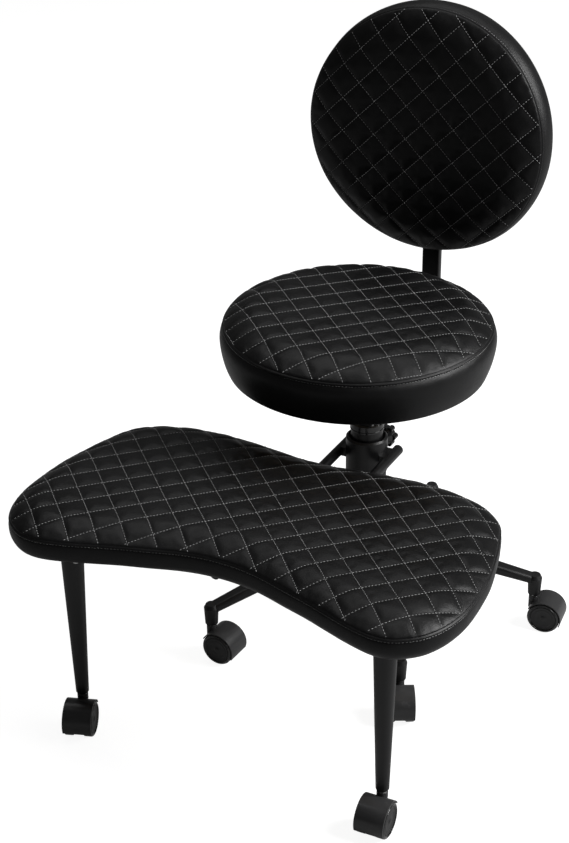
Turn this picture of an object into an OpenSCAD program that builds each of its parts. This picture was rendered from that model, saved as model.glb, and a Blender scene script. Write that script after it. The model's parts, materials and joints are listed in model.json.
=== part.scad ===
// Cross-legged office chair: a swivelling, height-adjustable round seat and back
// over a separate kidney-shaped leg rest that turns round the same column.
// Millimetres. Z is up, the chair faces -Y, and the origin lies on the floor
// under the column's axis.

/* [Seat] */
// Radius of the seat cushion at its top seam
seat_r = 200; // [170:1:240]
// Distance of the seat's centre in front of the column axis
seat_forward = 38; // [0:1:70]
// Height of the seat cushion's underside at the highest setting
seat_bottom_z = 461.5; // [440:0.5:520]
// Height of the cushion's side band below the seam, at the sides and the rear
seat_band_h = 73; // [50:1:110]
// Drop of the seam from the sides to the front
seat_drop = 4; // [0:1:24]
// Crown of the quilted seat top above the seam
seat_crown = 19; // [3:1:40]
// Thickness of the seat's plywood board
seat_board_t = 12; // [9:1:18]
// Travel of the gas lift below the highest setting
lift_travel = 60; // [30:1:66]

/* [Backrest] */
// Radius of the back cushion at its face seam
back_r = 191; // [150:1:220]
// Height of the back cushion's centre
back_z = 749.5; // [720:0.5:800]
// Distance of the face seam behind the column axis
back_y = 193.5; // [180:0.5:230]
// Depth of the back cushion from the face seam to its rear panel
back_depth = 51; // [40:1:70]
// Crown of the quilted face in front of the seam
back_crown = 14; // [4:1:30]
// Thickness of the panel that closes the back
back_panel_t = 4; // [2:0.5:8]
// Thickness of the back's plywood board
back_board_t = 10; // [6:1:15]
// Width of the back bar
bar_w = 30; // [20:1:50]
// Thickness of the back bar
bar_t = 12; // [8:1:14]
// Wall of the back bar's tube
bar_wall = 2; // [1:0.5:3]
// Inside radius of the bar's bend
bar_bend_r = 24; // [16:1:40]

/* [Leg rest] */
// Half of the leg rest's width at its seam
rest_half_w = 341; // [280:1:380]
// Depth of the leg rest from front lobes to rear lobes, at the seam
rest_depth = 375; // [320:1:420]
// Distance of the rear lobes in front of the column axis
rest_rear = 157; // [120:1:220]
// Height of the leg rest's seam
rest_seam_z = 360.5; // [340:0.5:362]
// Height of the side band below the seam
rest_band_h = 40; // [30:1:46]
// Crown of the quilted top above the seam
rest_crown = 16; // [4:1:20]
// Thickness of the leg rest's board
rest_board_t = 15; // [9:1:18]
// Outside radius of the two carrying tubes
tube_r = 8; // [7:0.5:12]
// Wall of the carrying tubes
tube_wall = 1.5; // [1:0.1:2.5]
// How far the tubes reach behind the column axis
tube_rear = 27; // [24:1:60]
// Length of the tubes under the board
tube_reach = 250; // [160:1:300]
// Thickness of the cross bars between tubes and board
plate_t = 10; // [5:0.5:12]

/* [Legs] */
// Distance of each leg inside the side of the leg rest
leg_side_inset = 98.5; // [80:0.5:130]
// Distance of the legs behind the front lobes of the leg rest
leg_front_inset = 72; // [56:1:100]
// Radius at the top of a leg
leg_top_r = 16.8; // [12:0.1:22]
// Radius at the foot of a leg
leg_foot_r = 9.5; // [8.5:0.1:14]
// Thickness of the flange on top of a leg
flange_t = 3; // [2:0.5:5]

/* [Column] */
// Outside radius of the column tube
column_r = 25; // [23:0.5:28]
// Wall of the column tube
column_wall = 2; // [1.5:0.5:3]
// Height of the top of the column tube
column_top_z = 336.5; // [328:0.5:338]
// Outside radius of the sliding pressure tube
piston_r = 14; // [12:0.5:16]
// Radius of the rod inside the pressure tube
rod_r = 5; // [4:0.5:6]
// Height of the bush's head on the column
bush_head_h = 14; // [8:1:16]

/* [Collar] */
// Outside radius of the leg rest's swivel collar
collar_r = 32.5; // [31:0.5:40]
// Height of the collar's lower rim
collar_z = 264.5; // [240:0.5:272]
// Height of the collar
collar_h = 59; // [40:1:60]
// Wall of the collar
collar_wall = 4; // [3:0.5:5]
// Radius of the clamp knob over its lobes
knob_r = 20; // [16:0.5:26]
// Thickness of the clamp knob
knob_t = 18; // [12:1:24]
// Radius of the clamp screw
stud_r = 4; // [3:0.5:5]
// Number of lobes on the clamp knob
knob_lobes = 7; // [5:1:9]

/* [Star base] */
// Radius from the column axis to the caster stems
base_r = 272; // [240:1:320]
// Height of an arm's top at its outer end
arm_end_z = 93; // [84:1:104]
// Height of an arm's top at the hub
arm_hub_z = 159; // [120:1:174]
// Width of an arm at its outer end
arm_w = 22; // [18:1:30]
// Width of an arm at the hub
arm_hub_w = 28; // [22:1:36]
// Depth of an arm's section at its outer end
arm_h = 14; // [13:1:22]
// Depth of an arm's section at the hub
arm_hub_h = 26; // [18:1:34]
// Outside radius of the hub
hub_r = 36; // [30:1:44]
// Height of the hub
hub_h = 72; // [50:1:84]

/* [Casters] */
// Radius of a caster wheel
wheel_r = 26.2; // [22:0.2:32]
// Width of one wheel of a twin pair
wheel_w = 14.7; // [10:0.1:18]
// Offset of the axle behind the caster's stem
trail = 21.5; // [19:0.5:26]
// Thickness of the web between the wheels
web_t = 12.4; // [12:0.2:16]
// Radius of the caster stem
stem_r = 5; // [4:0.1:5.2]
// Radius of the wheel axle
axle_r = 3; // [2:0.1:4]
// Wall of the hood over the wheels
hood_wall = 1.6; // [1.2:0.1:3]

/* [Quilting] */
// Half of the distance between stitch crossings
quilt_step = 26; // [20:1:40]
// Height of a padded diamond above its stitch lines
puff = 4; // [1:0.5:6]

/* [Hidden] */

// Clearances: a running or push fit, a free gap between bodies, and an overrun for cuts
fit_gap = 0.05;
body_gap = 0.3;
cut = 2;
round_fn = 96;
small_fn = 32;

// Colours of the leather, the coated steel, the plastics and the board
leather = [0.09, 0.09, 0.095];
steel_black = [0.14, 0.14, 0.145];
gloss_black = [0.05, 0.05, 0.055];
plastic_black = [0.11, 0.11, 0.115];
bright_steel = [0.72, 0.72, 0.72];
board_wood = [0.62, 0.5, 0.36];

// Five arms of the star base, one pointing straight back
arm_count = 5;
arm_turn = -126;

// Places of the legs under the leg rest
leg_x = rest_half_w - leg_side_inset;
leg_y = rest_rear + rest_depth - leg_front_inset;

// Casters: five under the arms and two under the legs, each with its swivel angle at rest
leg_places = [[-leg_x, -leg_y], [leg_x, -leg_y]];
caster_places = concat(
    [for (k = [0:arm_count - 1])
        base_r * [cos(arm_turn + k * 360 / arm_count), sin(arm_turn + k * 360 / arm_count)]],
    leg_places);
caster_turns = [-3, -62, 6, 60, 150, -70, -88];

// Caster: hood, boss and stem
hood_gap = 0.6;
hood_in_r = wheel_r + hood_gap;
hood_out_r = hood_in_r + hood_wall;
hood_start = 152;
hood_end = -22;
wheel_gap = 0.6;
wheel_in = web_t / 2 + wheel_gap;
wheel_out = wheel_in + wheel_w;
boss_r = stem_r + 3;
axle_boss_r = axle_r + 4;
neck_h = 2.5;
socket_rise = 4;
socket_z = wheel_r + hood_out_r + socket_rise;
boss_top_z = socket_z - neck_h - body_gap;
stem_foot_z = wheel_r + 8;
stem_in = 26;
ring_r = stem_r + 2.2;
wheel_face = 1.6;
wheel_edge = 2.2;
dish_d = 1.2;
dish_r_share = 0.8;
axle_end = wheel_out - wheel_face - 1;

// The boss is fully round above the place where it would meet the wheels
boss_chord = sqrt(boss_r * boss_r - wheel_in * wheel_in);
boss_full_h = boss_top_z - wheel_r - wheel_gap
    - sqrt(wheel_r * wheel_r - (trail - boss_chord) * (trail - boss_chord));

// Star base: sockets at the arm ends and the hub on the column
socket_foot_r = 10;
socket_top_r = 11.5;
arm_corner = 6;
arm_slab = 0.5;
hub_top_z = arm_hub_z + 10;
hub_foot_z = hub_top_z - hub_h;
hub_edge = 5;
arm_start = hub_r - 8;

// Column and gas lift
column_foot_z = hub_foot_z - 20;
column_floor = 4;
bush_in = 34;
bush_rim = 1.4;
bush_groove = 0.9;
bush_ring = 2.2;
bush_top_z = column_top_z + bush_head_h;
piston_wall = 2.4;
piston_top_z = seat_bottom_z - 6;
thrust_h = 6;
piston_clear = 40;
piston_foot_z = column_foot_z + column_floor + thrust_h + piston_clear + lift_travel;
rod_head_z = piston_foot_z + 32;
rod_head_h = 10;
clip_h = 3;

// Leg rest: heights of the board, the plates and the tubes
rest_board_drop = 10;
rest_board_inset = 34;
rest_bottom_z = rest_seam_z - rest_band_h;
rest_board_z = rest_bottom_z - rest_board_drop;
plate_z = rest_board_z - plate_t;
tube_z = plate_z - tube_r;

// Collar, liner and support ring
liner_wall = collar_r - collar_wall - column_r - 2 * fit_gap;
liner_rim = 3;
groove_d = 8;
ring_h = 12;
ring_out = collar_r - 1.5;
tube_x = collar_r + tube_r + body_gap;
lug_h = 15;
lug_l = 32;
collar_edge = 2.5;
knob_z = collar_z + 25;
stud_boss_r = 9;
stud_boss_end = collar_r + 9;
knob_y = stud_boss_end + 16;
knob_boss_h = 6;
lobe_r = 4.6;
set_screw_r = 2.5;

// Leg rest: board, tubes and plates
plate_l = 36;
plate_half = tube_x + 34;
tube_front = rest_rear + tube_reach;
plate_ys = [-(rest_rear + 58), -(tube_front - 26)];
cap_t = 2.5;
cap_in = 12;
screw_r = 3;
screw_head_r = 5.5;
screw_head_h = 3.5;
screw_in = 11;
plate_screw_in = plate_t + 8;
flange_half = 30;
flange_corner = 6;

// Seat: board, mechanism and lever
seat_tuck = 7.7;
seat_board_inset = 27;
seat_board_proud = 1;
seat_board_z = seat_bottom_z - seat_board_proud;
mech_t = 3;
mech_half = 74;
mech_corner = 12;
mech_socket_r = 23;
mech_socket_h = 31;
lever_z = seat_board_z - 20;
lever_pivot_x = mech_socket_r + 12;
lever_rod_r = 4;
lever_reach = 160;
lever_grip_l = 44;
lever_grip_w = 24;
lever_grip_t = 8;
lever_lug_t = 5;
lever_pin_r = 2.5;
lever_lug_gap = 0.4;

// Back: bar, plate and board
bar_z = seat_board_z - bar_t / 2;
bar_start = mech_half + 4;
back_rear_y = back_y + back_depth;
plate_back_t = 3;
bar_mid_y = back_rear_y - body_gap - bar_t / 2;
bar_front_y = bar_mid_y - bar_t / 2;
back_board_y = bar_front_y - plate_back_t;
bar_corner = 3;
bar_top_z = back_z + 62;
back_board_inset = 24;
back_plate_w = 90;
back_plate_h = 120;
back_screw_x = 32;
back_screw_z = 46;
bar_run = seat_r - seat_board_inset - seat_forward - bar_start;
bar_screw_shares = [4 / 19, 14 / 19];
bar_screw_ys = [for (s = bar_screw_shares) bar_start + s * bar_run];

// Outline of the leg rest's seam: share of the half width, then share of the depth
// from the front lobes to the rear lobes
front_shares = [[0, 0.179], [0.09, 0.174], [0.18, 0.158], [0.31, 0.121], [0.415, 0.092],
    [0.515, 0.059], [0.615, 0.027], [0.71, 0.004], [0.765, 0], [0.815, 0.008],
    [0.86, 0.029], [0.923, 0.08], [0.967, 0.152], [0.992, 0.235], [1, 0.312]];
rear_shares = [[0, 0.96], [0.09, 0.965], [0.18, 0.976], [0.267, 0.987], [0.37, 0.996],
    [0.475, 1], [0.58, 0.993], [0.677, 0.975], [0.766, 0.945], [0.83, 0.905],
    [0.887, 0.845], [0.926, 0.752], [0.958, 0.645], [0.985, 0.533], [0.994, 0.459], [1, 0.312]];
end_shares = [0.958, 0.985, 0.997];
round_end_shares = [0.955, 0.985, 0.998];

// Side of a cushion from the seam down: outward offset, then share of the band's height
seam_tuck = 2.2;
seat_bulge = 5.2;
seat_side = [[0, 0], [-seam_tuck, 0.035], [seam_tuck / 2, 0.075], [seat_bulge, 0.24],
    [seat_bulge * 0.7, 0.5], [-seat_tuck * 0.3, 0.84], [-seat_tuck, 1]];
bulge = 1.6;
rest_tuck = 14;
rest_side = [[0, 0], [-seam_tuck, 0.06], [0, 0.13], [bulge, 0.4], [0, 0.66],
    [-rest_tuck * 0.4, 0.87], [-rest_tuck, 1]];
back_tuck = 10;
back_bulge = 4.5;
back_side = [[0, 0], [-seam_tuck, 0.05], [0, 0.11], [back_bulge, 0.45], [back_bulge / 2, 0.76],
    [-seam_tuck, 0.9], [-seam_tuck / 2, 0.95], [-back_tuck, 1]];

// Running totals of a list
function sums(v, i = 0, s = 0, out = []) =
    i >= len(v) ? out : sums(v, i + 1, s + v[i], concat(out, [s]));

// Triangles between two columns of points that rise in y; a tie follows the stitch line
function zip_up(a, b, na, nb, i = 0, j = 0, out = []) =
    i == len(a) - 1 && j == len(b) - 1 ? out :
    let (step_a = j == len(b) - 1 ? true
        : i == len(a) - 1 ? false
        : abs(a[i + 1][1] - b[j + 1][1]) > fit_gap ? a[i + 1][1] < b[j + 1][1]
        : a[i + 1][3] == 0)
    step_a
        ? zip_up(a, b, na, nb, i + 1, j, concat(out, [[na + i, na + i + 1, nb + j]]))
        : zip_up(a, b, na, nb, i, j + 1, concat(out, [[na + i, nb + j + 1, nb + j]]));

// Whether a column lies on the stitch grid, and the columns of a cushion
function on_grid(x) = abs(x / quilt_step - round(x / quilt_step)) < 0.001;
function columns(w, ends) = let (n = floor(w * ends[0] / quilt_step - 0.2))
    concat([for (k = [len(ends) - 1:-1:0]) -w * ends[k]],
        [for (i = [-n:n]) i * quilt_step],
        [for (k = [0:len(ends) - 1]) w * ends[k]]);

// Front and rear edge of the seam at a column
function rest_front(x) = -(rest_rear + rest_depth * (1 - lookup(abs(x) / rest_half_w, front_shares)));
function rest_back(x) = -(rest_rear + rest_depth * (1 - lookup(abs(x) / rest_half_w, rear_shares)));
function edge_run(r, x) = sqrt(max(r * r - x * x, 0));
function edge_pair(kind, w, x) = kind == "rest"
    ? [rest_front(x), rest_back(x)] : [-edge_run(w, x), edge_run(w, x)];

// Height of the crown at a point that lies d inside the seam: a rounded shoulder
// as wide as crown_run, then flat
crown_run = 44;
crown_curve = 1.3;
function crown_at(d, crown) = crown * (1 - pow(1 - min(1, d / crown_run), crown_curve));
function inside(kind, w, x, y, e) = kind == "rest"
    ? min(y - e[0], e[1] - y, w - abs(x)) : w - norm([x, y]);

// One column of the top: [x, y, height, parity], where parity 0 is a stitch crossing.
// The outermost columns hold only their two points on the seam.
margin = quilt_step * 0.36;
function top_column(kind, w, x, y0, crown, last) = let (e = edge_pair(kind, w, x),
        j0 = ceil((e[0] + margin - y0) / quilt_step),
        j1 = last ? j0 - 1 : floor((e[1] - margin - y0) / quilt_step))
    concat([[x, e[0], 0, 0]],
        [for (j = [j0:1:j1]) let (y = y0 + j * quilt_step,
                odd = on_grid(x) ? abs(round(x / quilt_step) + j) % 2 : 0,
                d = inside(kind, w, x, y, e))
            [x, y, crown_at(d, crown) + odd * puff * min(1, d / quilt_step), odd]],
        [[x, e[1], 0, 0]]);

// Seam loop of a cushion, anticlockwise from above, and its outward normals
function seam_loop(kind, w, xs) = concat(
    [for (x = xs) [x, edge_pair(kind, w, x)[0]]],
    [for (k = [len(xs) - 1:-1:0]) [xs[k], edge_pair(kind, w, xs[k])[1]]]);
function outward(p) = [for (l = [0:len(p) - 1])
    let (t = p[(l + 1) % len(p)] - p[(l + len(p) - 1) % len(p)]) [t[1], -t[0]] / norm(t)];
function inset_loop(p, d) = let (n = outward(p)) [for (l = [0:len(p) - 1]) p[l] - n[l] * d];

// Height of the seam over the cushion's underside, which falls by drop towards the front
drop_curve = 1.3;
function seam_h(band_h, drop, y, w) = band_h - drop * pow(max(0, -y / w), drop_curve);

// A quilted cushion standing on z = 0. The seam lies at band_h, and drop lower at the front.
// The board's recess in its underside is recess_h deep and lies inset inside the seam.
module quilted(kind, w, ends, y0, crown, band_h, drop, side, inset, recess_h) {
    xs = columns(w, ends);
    cols = [for (k = [0:len(xs) - 1])
        top_column(kind, w, xs[k], y0, crown, k == 0 || k == len(xs) - 1)];
    starts = sums([for (c = cols) len(c)]);
    top_n = starts[len(starts) - 1] + len(cols[len(cols) - 1]);
    loop = seam_loop(kind, w, xs);
    ln = len(loop);
    nrm = outward(loop);
    top_points = [for (c = cols) for (q = c) [q[0], q[1], seam_h(band_h, drop, q[1], w) + q[2]]];
    side_points = [for (k = [1:len(side) - 1]) for (l = [0:ln - 1])
        let (p = loop[l] + nrm[l] * side[k][0], full = seam_h(band_h, drop, loop[l][1], w))
        [p[0], p[1], full * (1 - side[k][1])]];
    lip_points = [for (z = [0, recess_h]) for (l = [0:ln - 1])
        let (p = loop[l] - nrm[l] * inset) [p[0], p[1], z]];
    rings = len(side) - 1 + 2;
    upper = concat([for (k = [0:len(xs) - 1]) starts[k]],
        [for (k = [len(xs) - 1:-1:0]) starts[k] + len(cols[k]) - 1]);
    ring = function (k, l) k == 0 ? upper[l % ln] : top_n + (k - 1) * ln + l % ln;
    top_faces = [for (k = [0:len(xs) - 2])
        for (f = zip_up(cols[k], cols[k + 1], starts[k], starts[k + 1])) f];
    side_faces = [for (k = [0:rings - 1]) for (l = [0:ln - 1]) for (h = [0, 1])
        h == 0 ? [ring(k, l), ring(k, l + 1), ring(k + 1, l + 1)]
            : [ring(k, l), ring(k + 1, l + 1), ring(k + 1, l)]];
    base_faces = [for (c = [0:len(xs) - 2]) for (h = [0, 1])
        h == 0 ? [ring(rings, c), ring(rings, c + 1), ring(rings, ln - 2 - c)]
            : [ring(rings, c), ring(rings, ln - 2 - c), ring(rings, ln - 1 - c)]];
    polyhedron(concat(top_points, side_points, lip_points),
        concat(top_faces, side_faces, base_faces), convexity = 6);
}

// A rounded rectangle made of squares and circles
module round_rect(w, h, r) {
    square([w, h - 2 * r], center = true);
    square([w - 2 * r, h], center = true);
    for (i = [-1, 1], j = [-1, 1])
        translate([i * (w / 2 - r), j * (h / 2 - r)]) circle(r = r, $fn = small_fn);
}

// A rod of radius r along Y from y0 to y1
module rod_y(r, y0, y1, fn = round_fn) {
    translate([0, y0, 0]) rotate([-90, 0, 0]) cylinder(r = r, h = y1 - y0, $fn = fn);
}

// A screw of length l standing on z = 0, with its head below
module screw(l = screw_in) {
    translate([0, 0, -screw_head_h]) cylinder(r = screw_head_r, h = screw_head_h, $fn = small_fn);
    cylinder(r = screw_r, h = l, $fn = small_fn);
}

// One arm of the star base along +X, from the hub to its stem socket
module arm_slab_at(x, top_z, w, h) {
    translate([x, 0, top_z - h / 2]) rotate([90, 0, 90]) linear_extrude(height = arm_slab)
        round_rect(w, h, arm_corner);
}
module arm_beam() {
    hull() {
        arm_slab_at(arm_start, arm_hub_z, arm_hub_w, arm_hub_h);
        arm_slab_at(base_r - arm_corner, arm_end_z, arm_w, arm_h);
    }
}
module arm_socket() {
    translate([base_r, 0, socket_z]) difference() {
        union() {
            cylinder(r1 = socket_foot_r, r2 = socket_top_r, h = arm_end_z - socket_z - arm_corner,
                $fn = round_fn);
            translate([0, 0, arm_end_z - socket_z - arm_corner])
                cylinder(r1 = socket_top_r, r2 = socket_top_r - arm_corner / 2, h = arm_corner,
                    $fn = round_fn);
        }
        translate([0, 0, -cut]) cylinder(r = stem_r + fit_gap, h = stem_in + fit_gap + cut,
            $fn = round_fn);
    }
}

module star_base() {
    color(steel_black) {
        difference() {
            union() {
                translate([0, 0, hub_foot_z]) rotate_extrude($fn = round_fn)
                    polygon([[0, 0], [hub_r - hub_edge, 0], [hub_r, hub_edge],
                        [hub_r, hub_h - hub_edge], [hub_r - hub_edge, hub_h], [0, hub_h]]);
                for (k = [0:arm_count - 1]) rotate([0, 0, arm_turn + k * 360 / arm_count])
                    arm_beam();
            }
            translate([0, 0, hub_foot_z - cut]) cylinder(r = column_r + fit_gap, h = hub_h + 2 * cut,
                $fn = round_fn);
            for (k = [0:arm_count - 1]) rotate([0, 0, arm_turn + k * 360 / arm_count])
                translate([base_r, 0, socket_z - cut]) cylinder(r = stem_r + fit_gap,
                    h = stem_in + fit_gap + cut, $fn = round_fn);
        }
        for (k = [0:arm_count - 1]) rotate([0, 0, arm_turn + k * 360 / arm_count]) arm_socket();
    }
}

module column_tube() {
    color(steel_black) difference() {
        translate([0, 0, column_foot_z]) cylinder(r = column_r, h = column_top_z - column_foot_z,
            $fn = round_fn);
        translate([0, 0, column_foot_z + column_floor])
            cylinder(r = column_r - column_wall, h = column_top_z - column_foot_z, $fn = round_fn);
        translate([0, 0, column_foot_z - cut])
            cylinder(r = rod_r + fit_gap, h = column_floor + 2 * cut, $fn = round_fn);
    }
}

module column_bush() {
    color(gloss_black) translate([0, 0, column_top_z]) rotate_extrude($fn = round_fn) polygon([
        [piston_r + fit_gap, -bush_in], [column_r - column_wall - fit_gap, -bush_in],
        [column_r - column_wall - fit_gap, 0], [column_r + bush_rim, 0],
        [column_r + bush_rim, bush_ring], [column_r + bush_rim - bush_groove, bush_ring],
        [column_r + bush_rim - bush_groove, 2 * bush_ring], [column_r + bush_rim, 2 * bush_ring],
        [column_r + bush_rim, bush_head_h - bush_ring],
        [column_r + bush_rim - bush_ring, bush_head_h], [piston_r + fit_gap, bush_head_h]]);
}

module support_ring() {
    color(steel_black) translate([0, 0, collar_z - liner_rim - body_gap - ring_h]) difference() {
        cylinder(r = ring_out, h = ring_h, $fn = round_fn);
        translate([0, 0, -cut]) cylinder(r = column_r + fit_gap, h = ring_h + 2 * cut,
            $fn = round_fn);
        translate([0, 0, ring_h / 2]) rod_y(set_screw_r, 0, 2 * ring_out, small_fn);
    }
}

// Caster stem in its socket, with the bright ring under the socket
module stem(place) {
    translate([place[0], place[1], 0]) {
        translate([0, 0, stem_foot_z]) cylinder(r = stem_r, h = socket_z + stem_in - stem_foot_z,
            $fn = round_fn);
        translate([0, 0, socket_z - neck_h]) cylinder(r = ring_r, h = neck_h, $fn = round_fn);
    }
}
module caster_stems() {
    color(bright_steel) for (k = [0:arm_count - 1]) stem(caster_places[k]);
}
module leg_stems() {
    color(bright_steel) for (p = leg_places) stem(p);
}

module gas_rod() {
    color(bright_steel) translate([0, 0, column_foot_z]) rotate_extrude($fn = round_fn) polygon([
        [0, -clip_h - body_gap], [rod_r + clip_h, -clip_h - body_gap],
        [rod_r + clip_h, -body_gap], [rod_r, -body_gap],
        [rod_r, column_floor + body_gap], [rod_r + thrust_h, column_floor + body_gap],
        [rod_r + thrust_h, column_floor + thrust_h], [rod_r, column_floor + thrust_h],
        [rod_r, rod_head_z - column_foot_z],
        [piston_r - piston_wall - fit_gap, rod_head_z - column_foot_z],
        [piston_r - piston_wall - fit_gap, rod_head_z + rod_head_h - column_foot_z],
        [0, rod_head_z + rod_head_h - column_foot_z]]);
}

module pressure_tube() {
    color(gloss_black) difference() {
        translate([0, 0, piston_foot_z]) cylinder(r = piston_r, h = piston_top_z - piston_foot_z,
            $fn = round_fn);
        translate([0, 0, piston_foot_z + column_floor]) cylinder(r = piston_r - piston_wall,
            h = piston_top_z - piston_foot_z - 3 * column_floor, $fn = round_fn);
        translate([0, 0, piston_foot_z - cut]) cylinder(r = rod_r + fit_gap,
            h = column_floor + 2 * cut, $fn = round_fn);
    }
}

module seat_mechanism() {
    color(steel_black) difference() {
        union() {
            translate([0, 0, seat_board_z - mech_t]) linear_extrude(height = mech_t)
                round_rect(2 * mech_half, 2 * mech_half, mech_corner);
            translate([0, 0, seat_board_z - mech_t - mech_socket_h])
                cylinder(r1 = mech_socket_r - mech_t, r2 = mech_socket_r, h = mech_socket_h,
                    $fn = round_fn);
            for (s = [-1, 1]) translate([-lever_pivot_x, s * (lever_rod_r + lever_lug_gap
                + lever_lug_t / 2), 0]) {
                translate([0, 0, lever_z]) rod_y(lever_pin_r + lever_lug_t, -lever_lug_t / 2,
                    lever_lug_t / 2);
                translate([-lever_pin_r - lever_lug_t, -lever_lug_t / 2, lever_z])
                    cube([2 * (lever_pin_r + lever_lug_t), lever_lug_t,
                        seat_board_z - mech_t - lever_z]);
            }
        }
        translate([0, 0, seat_board_z - mech_t - mech_socket_h - cut])
            cylinder(r = piston_r + fit_gap, h = piston_top_z + fit_gap - seat_board_z + mech_t
                + mech_socket_h + cut, $fn = round_fn);
        translate([-lever_pivot_x, 0, lever_z]) rod_y(lever_pin_r + fit_gap,
            -2 * lever_lug_t - lever_rod_r, 2 * lever_lug_t + lever_rod_r);
        for (i = [-1, 1], j = [-1, 1]) translate([i * (mech_half - mech_corner),
            j * (mech_half - mech_corner), seat_board_z - mech_t - cut])
            cylinder(r = screw_r + fit_gap, h = mech_t + 2 * cut, $fn = small_fn);
    }
}

module lever_rod() {
    color(bright_steel) translate([-lever_pivot_x, 0, lever_z]) {
        rotate([0, -90, 0]) translate([0, 0, -lever_pin_r - lever_rod_r]) cylinder(r = lever_rod_r,
            h = lever_reach - lever_pivot_x + lever_pin_r + lever_rod_r - lever_grip_t / 2,
            $fn = round_fn);
        rod_y(lever_pin_r, -lever_rod_r - lever_lug_gap - lever_lug_t - body_gap,
            lever_rod_r + lever_lug_gap + lever_lug_t + body_gap);
    }
}

module lever_grip() {
    color(plastic_black) difference() {
        translate([-lever_reach, 0, lever_z - lever_grip_t / 2 - 1])
            linear_extrude(height = lever_grip_t + 2) translate([lever_grip_l / 2, 0])
                round_rect(lever_grip_l, lever_grip_w, lever_grip_t);
        translate([0, 0, lever_z]) rotate([0, -90, 0]) cylinder(r = lever_rod_r + fit_gap,
            h = lever_reach - lever_grip_t / 2 + fit_gap, $fn = round_fn);
    }
}

module seat_board() {
    color(board_wood) translate([0, -seat_forward, seat_board_z]) difference() {
        linear_extrude(height = seat_board_t) polygon(inset_loop(seam_loop("round", seat_r,
            columns(seat_r, round_end_shares)), seat_board_inset + body_gap));
        translate([0, seat_forward, 0]) for (i = [-1, 1], j = [-1, 1])
            translate([i * (mech_half - mech_corner), j * (mech_half - mech_corner), -cut])
                cylinder(r = screw_r + fit_gap, h = screw_in - mech_t + fit_gap + cut, $fn = small_fn);
        translate([0, seat_forward, 0]) for (y = bar_screw_ys) translate([0, y, -cut])
            cylinder(r = screw_r + fit_gap, h = screw_in - bar_wall + fit_gap + cut, $fn = small_fn);
    }
}

// A stitch crossing lies on the middle plane at this distance in front of the seat's centre
seat_quilt_start = 18;
module seat_cushion() {
    color(leather) translate([0, -seat_forward, seat_bottom_z])
        quilted("round", seat_r, round_end_shares, -seat_quilt_start, seat_crown, seat_band_h, seat_drop,
            seat_side, seat_board_inset, seat_board_t - seat_board_proud + fit_gap);
}

// Screws under the seat and behind the back: mechanism to board, bar to board, plate to board
module seat_screws() {
    color(bright_steel) {
        for (i = [-1, 1], j = [-1, 1]) translate([i * (mech_half - mech_corner),
            j * (mech_half - mech_corner), seat_board_z - mech_t]) screw();
        for (y = bar_screw_ys) translate([0, y, seat_board_z - bar_wall]) screw();
        for (i = [-1, 1], j = [-1, 1]) translate([i * back_screw_x, bar_front_y,
            back_z + j * back_screw_z]) rotate([90, 0, 0]) screw();
    }
}

// The bar's section swept along its path: under the seat, round the bend, up behind the back
module bar_path(w, t, r, x_end) {
    translate([0, bar_start, bar_z]) rotate([-90, 0, 0])
        linear_extrude(height = bar_mid_y - bar_bend_r - bar_t / 2 - bar_start)
            round_rect(w, t, r);
    translate([0, bar_mid_y - bar_bend_r - bar_t / 2, bar_z + bar_bend_r + bar_t / 2])
        rotate([0, 90, 0]) rotate([0, 0, 0]) rotate_extrude(angle = 90, $fn = round_fn)
            translate([bar_bend_r + bar_t / 2, 0]) round_rect(t, w, r);
    translate([0, bar_mid_y, bar_z + bar_bend_r + bar_t / 2])
        linear_extrude(height = bar_top_z - bar_z - bar_bend_r - bar_t / 2)
            round_rect(w, t, r);
}
module back_bar() {
    color(steel_black) difference() {
        bar_path(bar_w, bar_t, bar_corner, 0);
        bar_hollow();
        for (y = bar_screw_ys) {
            translate([0, y, bar_z]) cylinder(r = screw_r + fit_gap, h = bar_t, $fn = small_fn);
            translate([0, y, bar_z - bar_t]) cylinder(r = screw_head_r + bar_wall / 2, h = bar_t,
                $fn = small_fn);
        }
    }
}
module bar_hollow() {
    hw = bar_w - 2 * bar_wall;
    ht = bar_t - 2 * bar_wall;
    translate([0, bar_start - cut, bar_z]) rotate([-90, 0, 0])
        linear_extrude(height = bar_mid_y - bar_bend_r - bar_t / 2 - bar_start + cut)
            square([hw, ht], center = true);
    translate([0, bar_mid_y - bar_bend_r - bar_t / 2, bar_z + bar_bend_r + bar_t / 2])
        rotate([0, 90, 0]) rotate_extrude(angle = 90, $fn = round_fn)
            translate([bar_bend_r + bar_t / 2, 0]) square([ht, hw], center = true);
    translate([0, bar_mid_y, bar_z + bar_bend_r + bar_t / 2])
        linear_extrude(height = bar_top_z - bar_z - bar_bend_r - bar_t / 2 - bar_wall)
            square([hw, ht], center = true);
}

module back_plate() {
    color(steel_black) translate([0, back_board_y, back_z]) rotate([-90, 0, 0]) difference() {
        linear_extrude(height = plate_back_t) round_rect(back_plate_w, back_plate_h, mech_corner);
        for (i = [-1, 1], j = [-1, 1]) translate([i * back_screw_x, j * back_screw_z, -cut])
            cylinder(r = screw_r + fit_gap, h = plate_back_t + 2 * cut, $fn = small_fn);
    }
}

module back_board() {
    color(board_wood) translate([0, back_board_y, back_z]) rotate([90, 0, 0]) difference() {
        linear_extrude(height = back_board_t) polygon(inset_loop(seam_loop("round", back_r,
            columns(back_r, round_end_shares)), back_board_inset + body_gap));
        for (i = [-1, 1], j = [-1, 1]) translate([i * back_screw_x, j * back_screw_z, -cut])
            cylinder(r = screw_r + fit_gap, h = screw_in - plate_back_t + fit_gap + cut,
                $fn = small_fn);
    }
}

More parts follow.
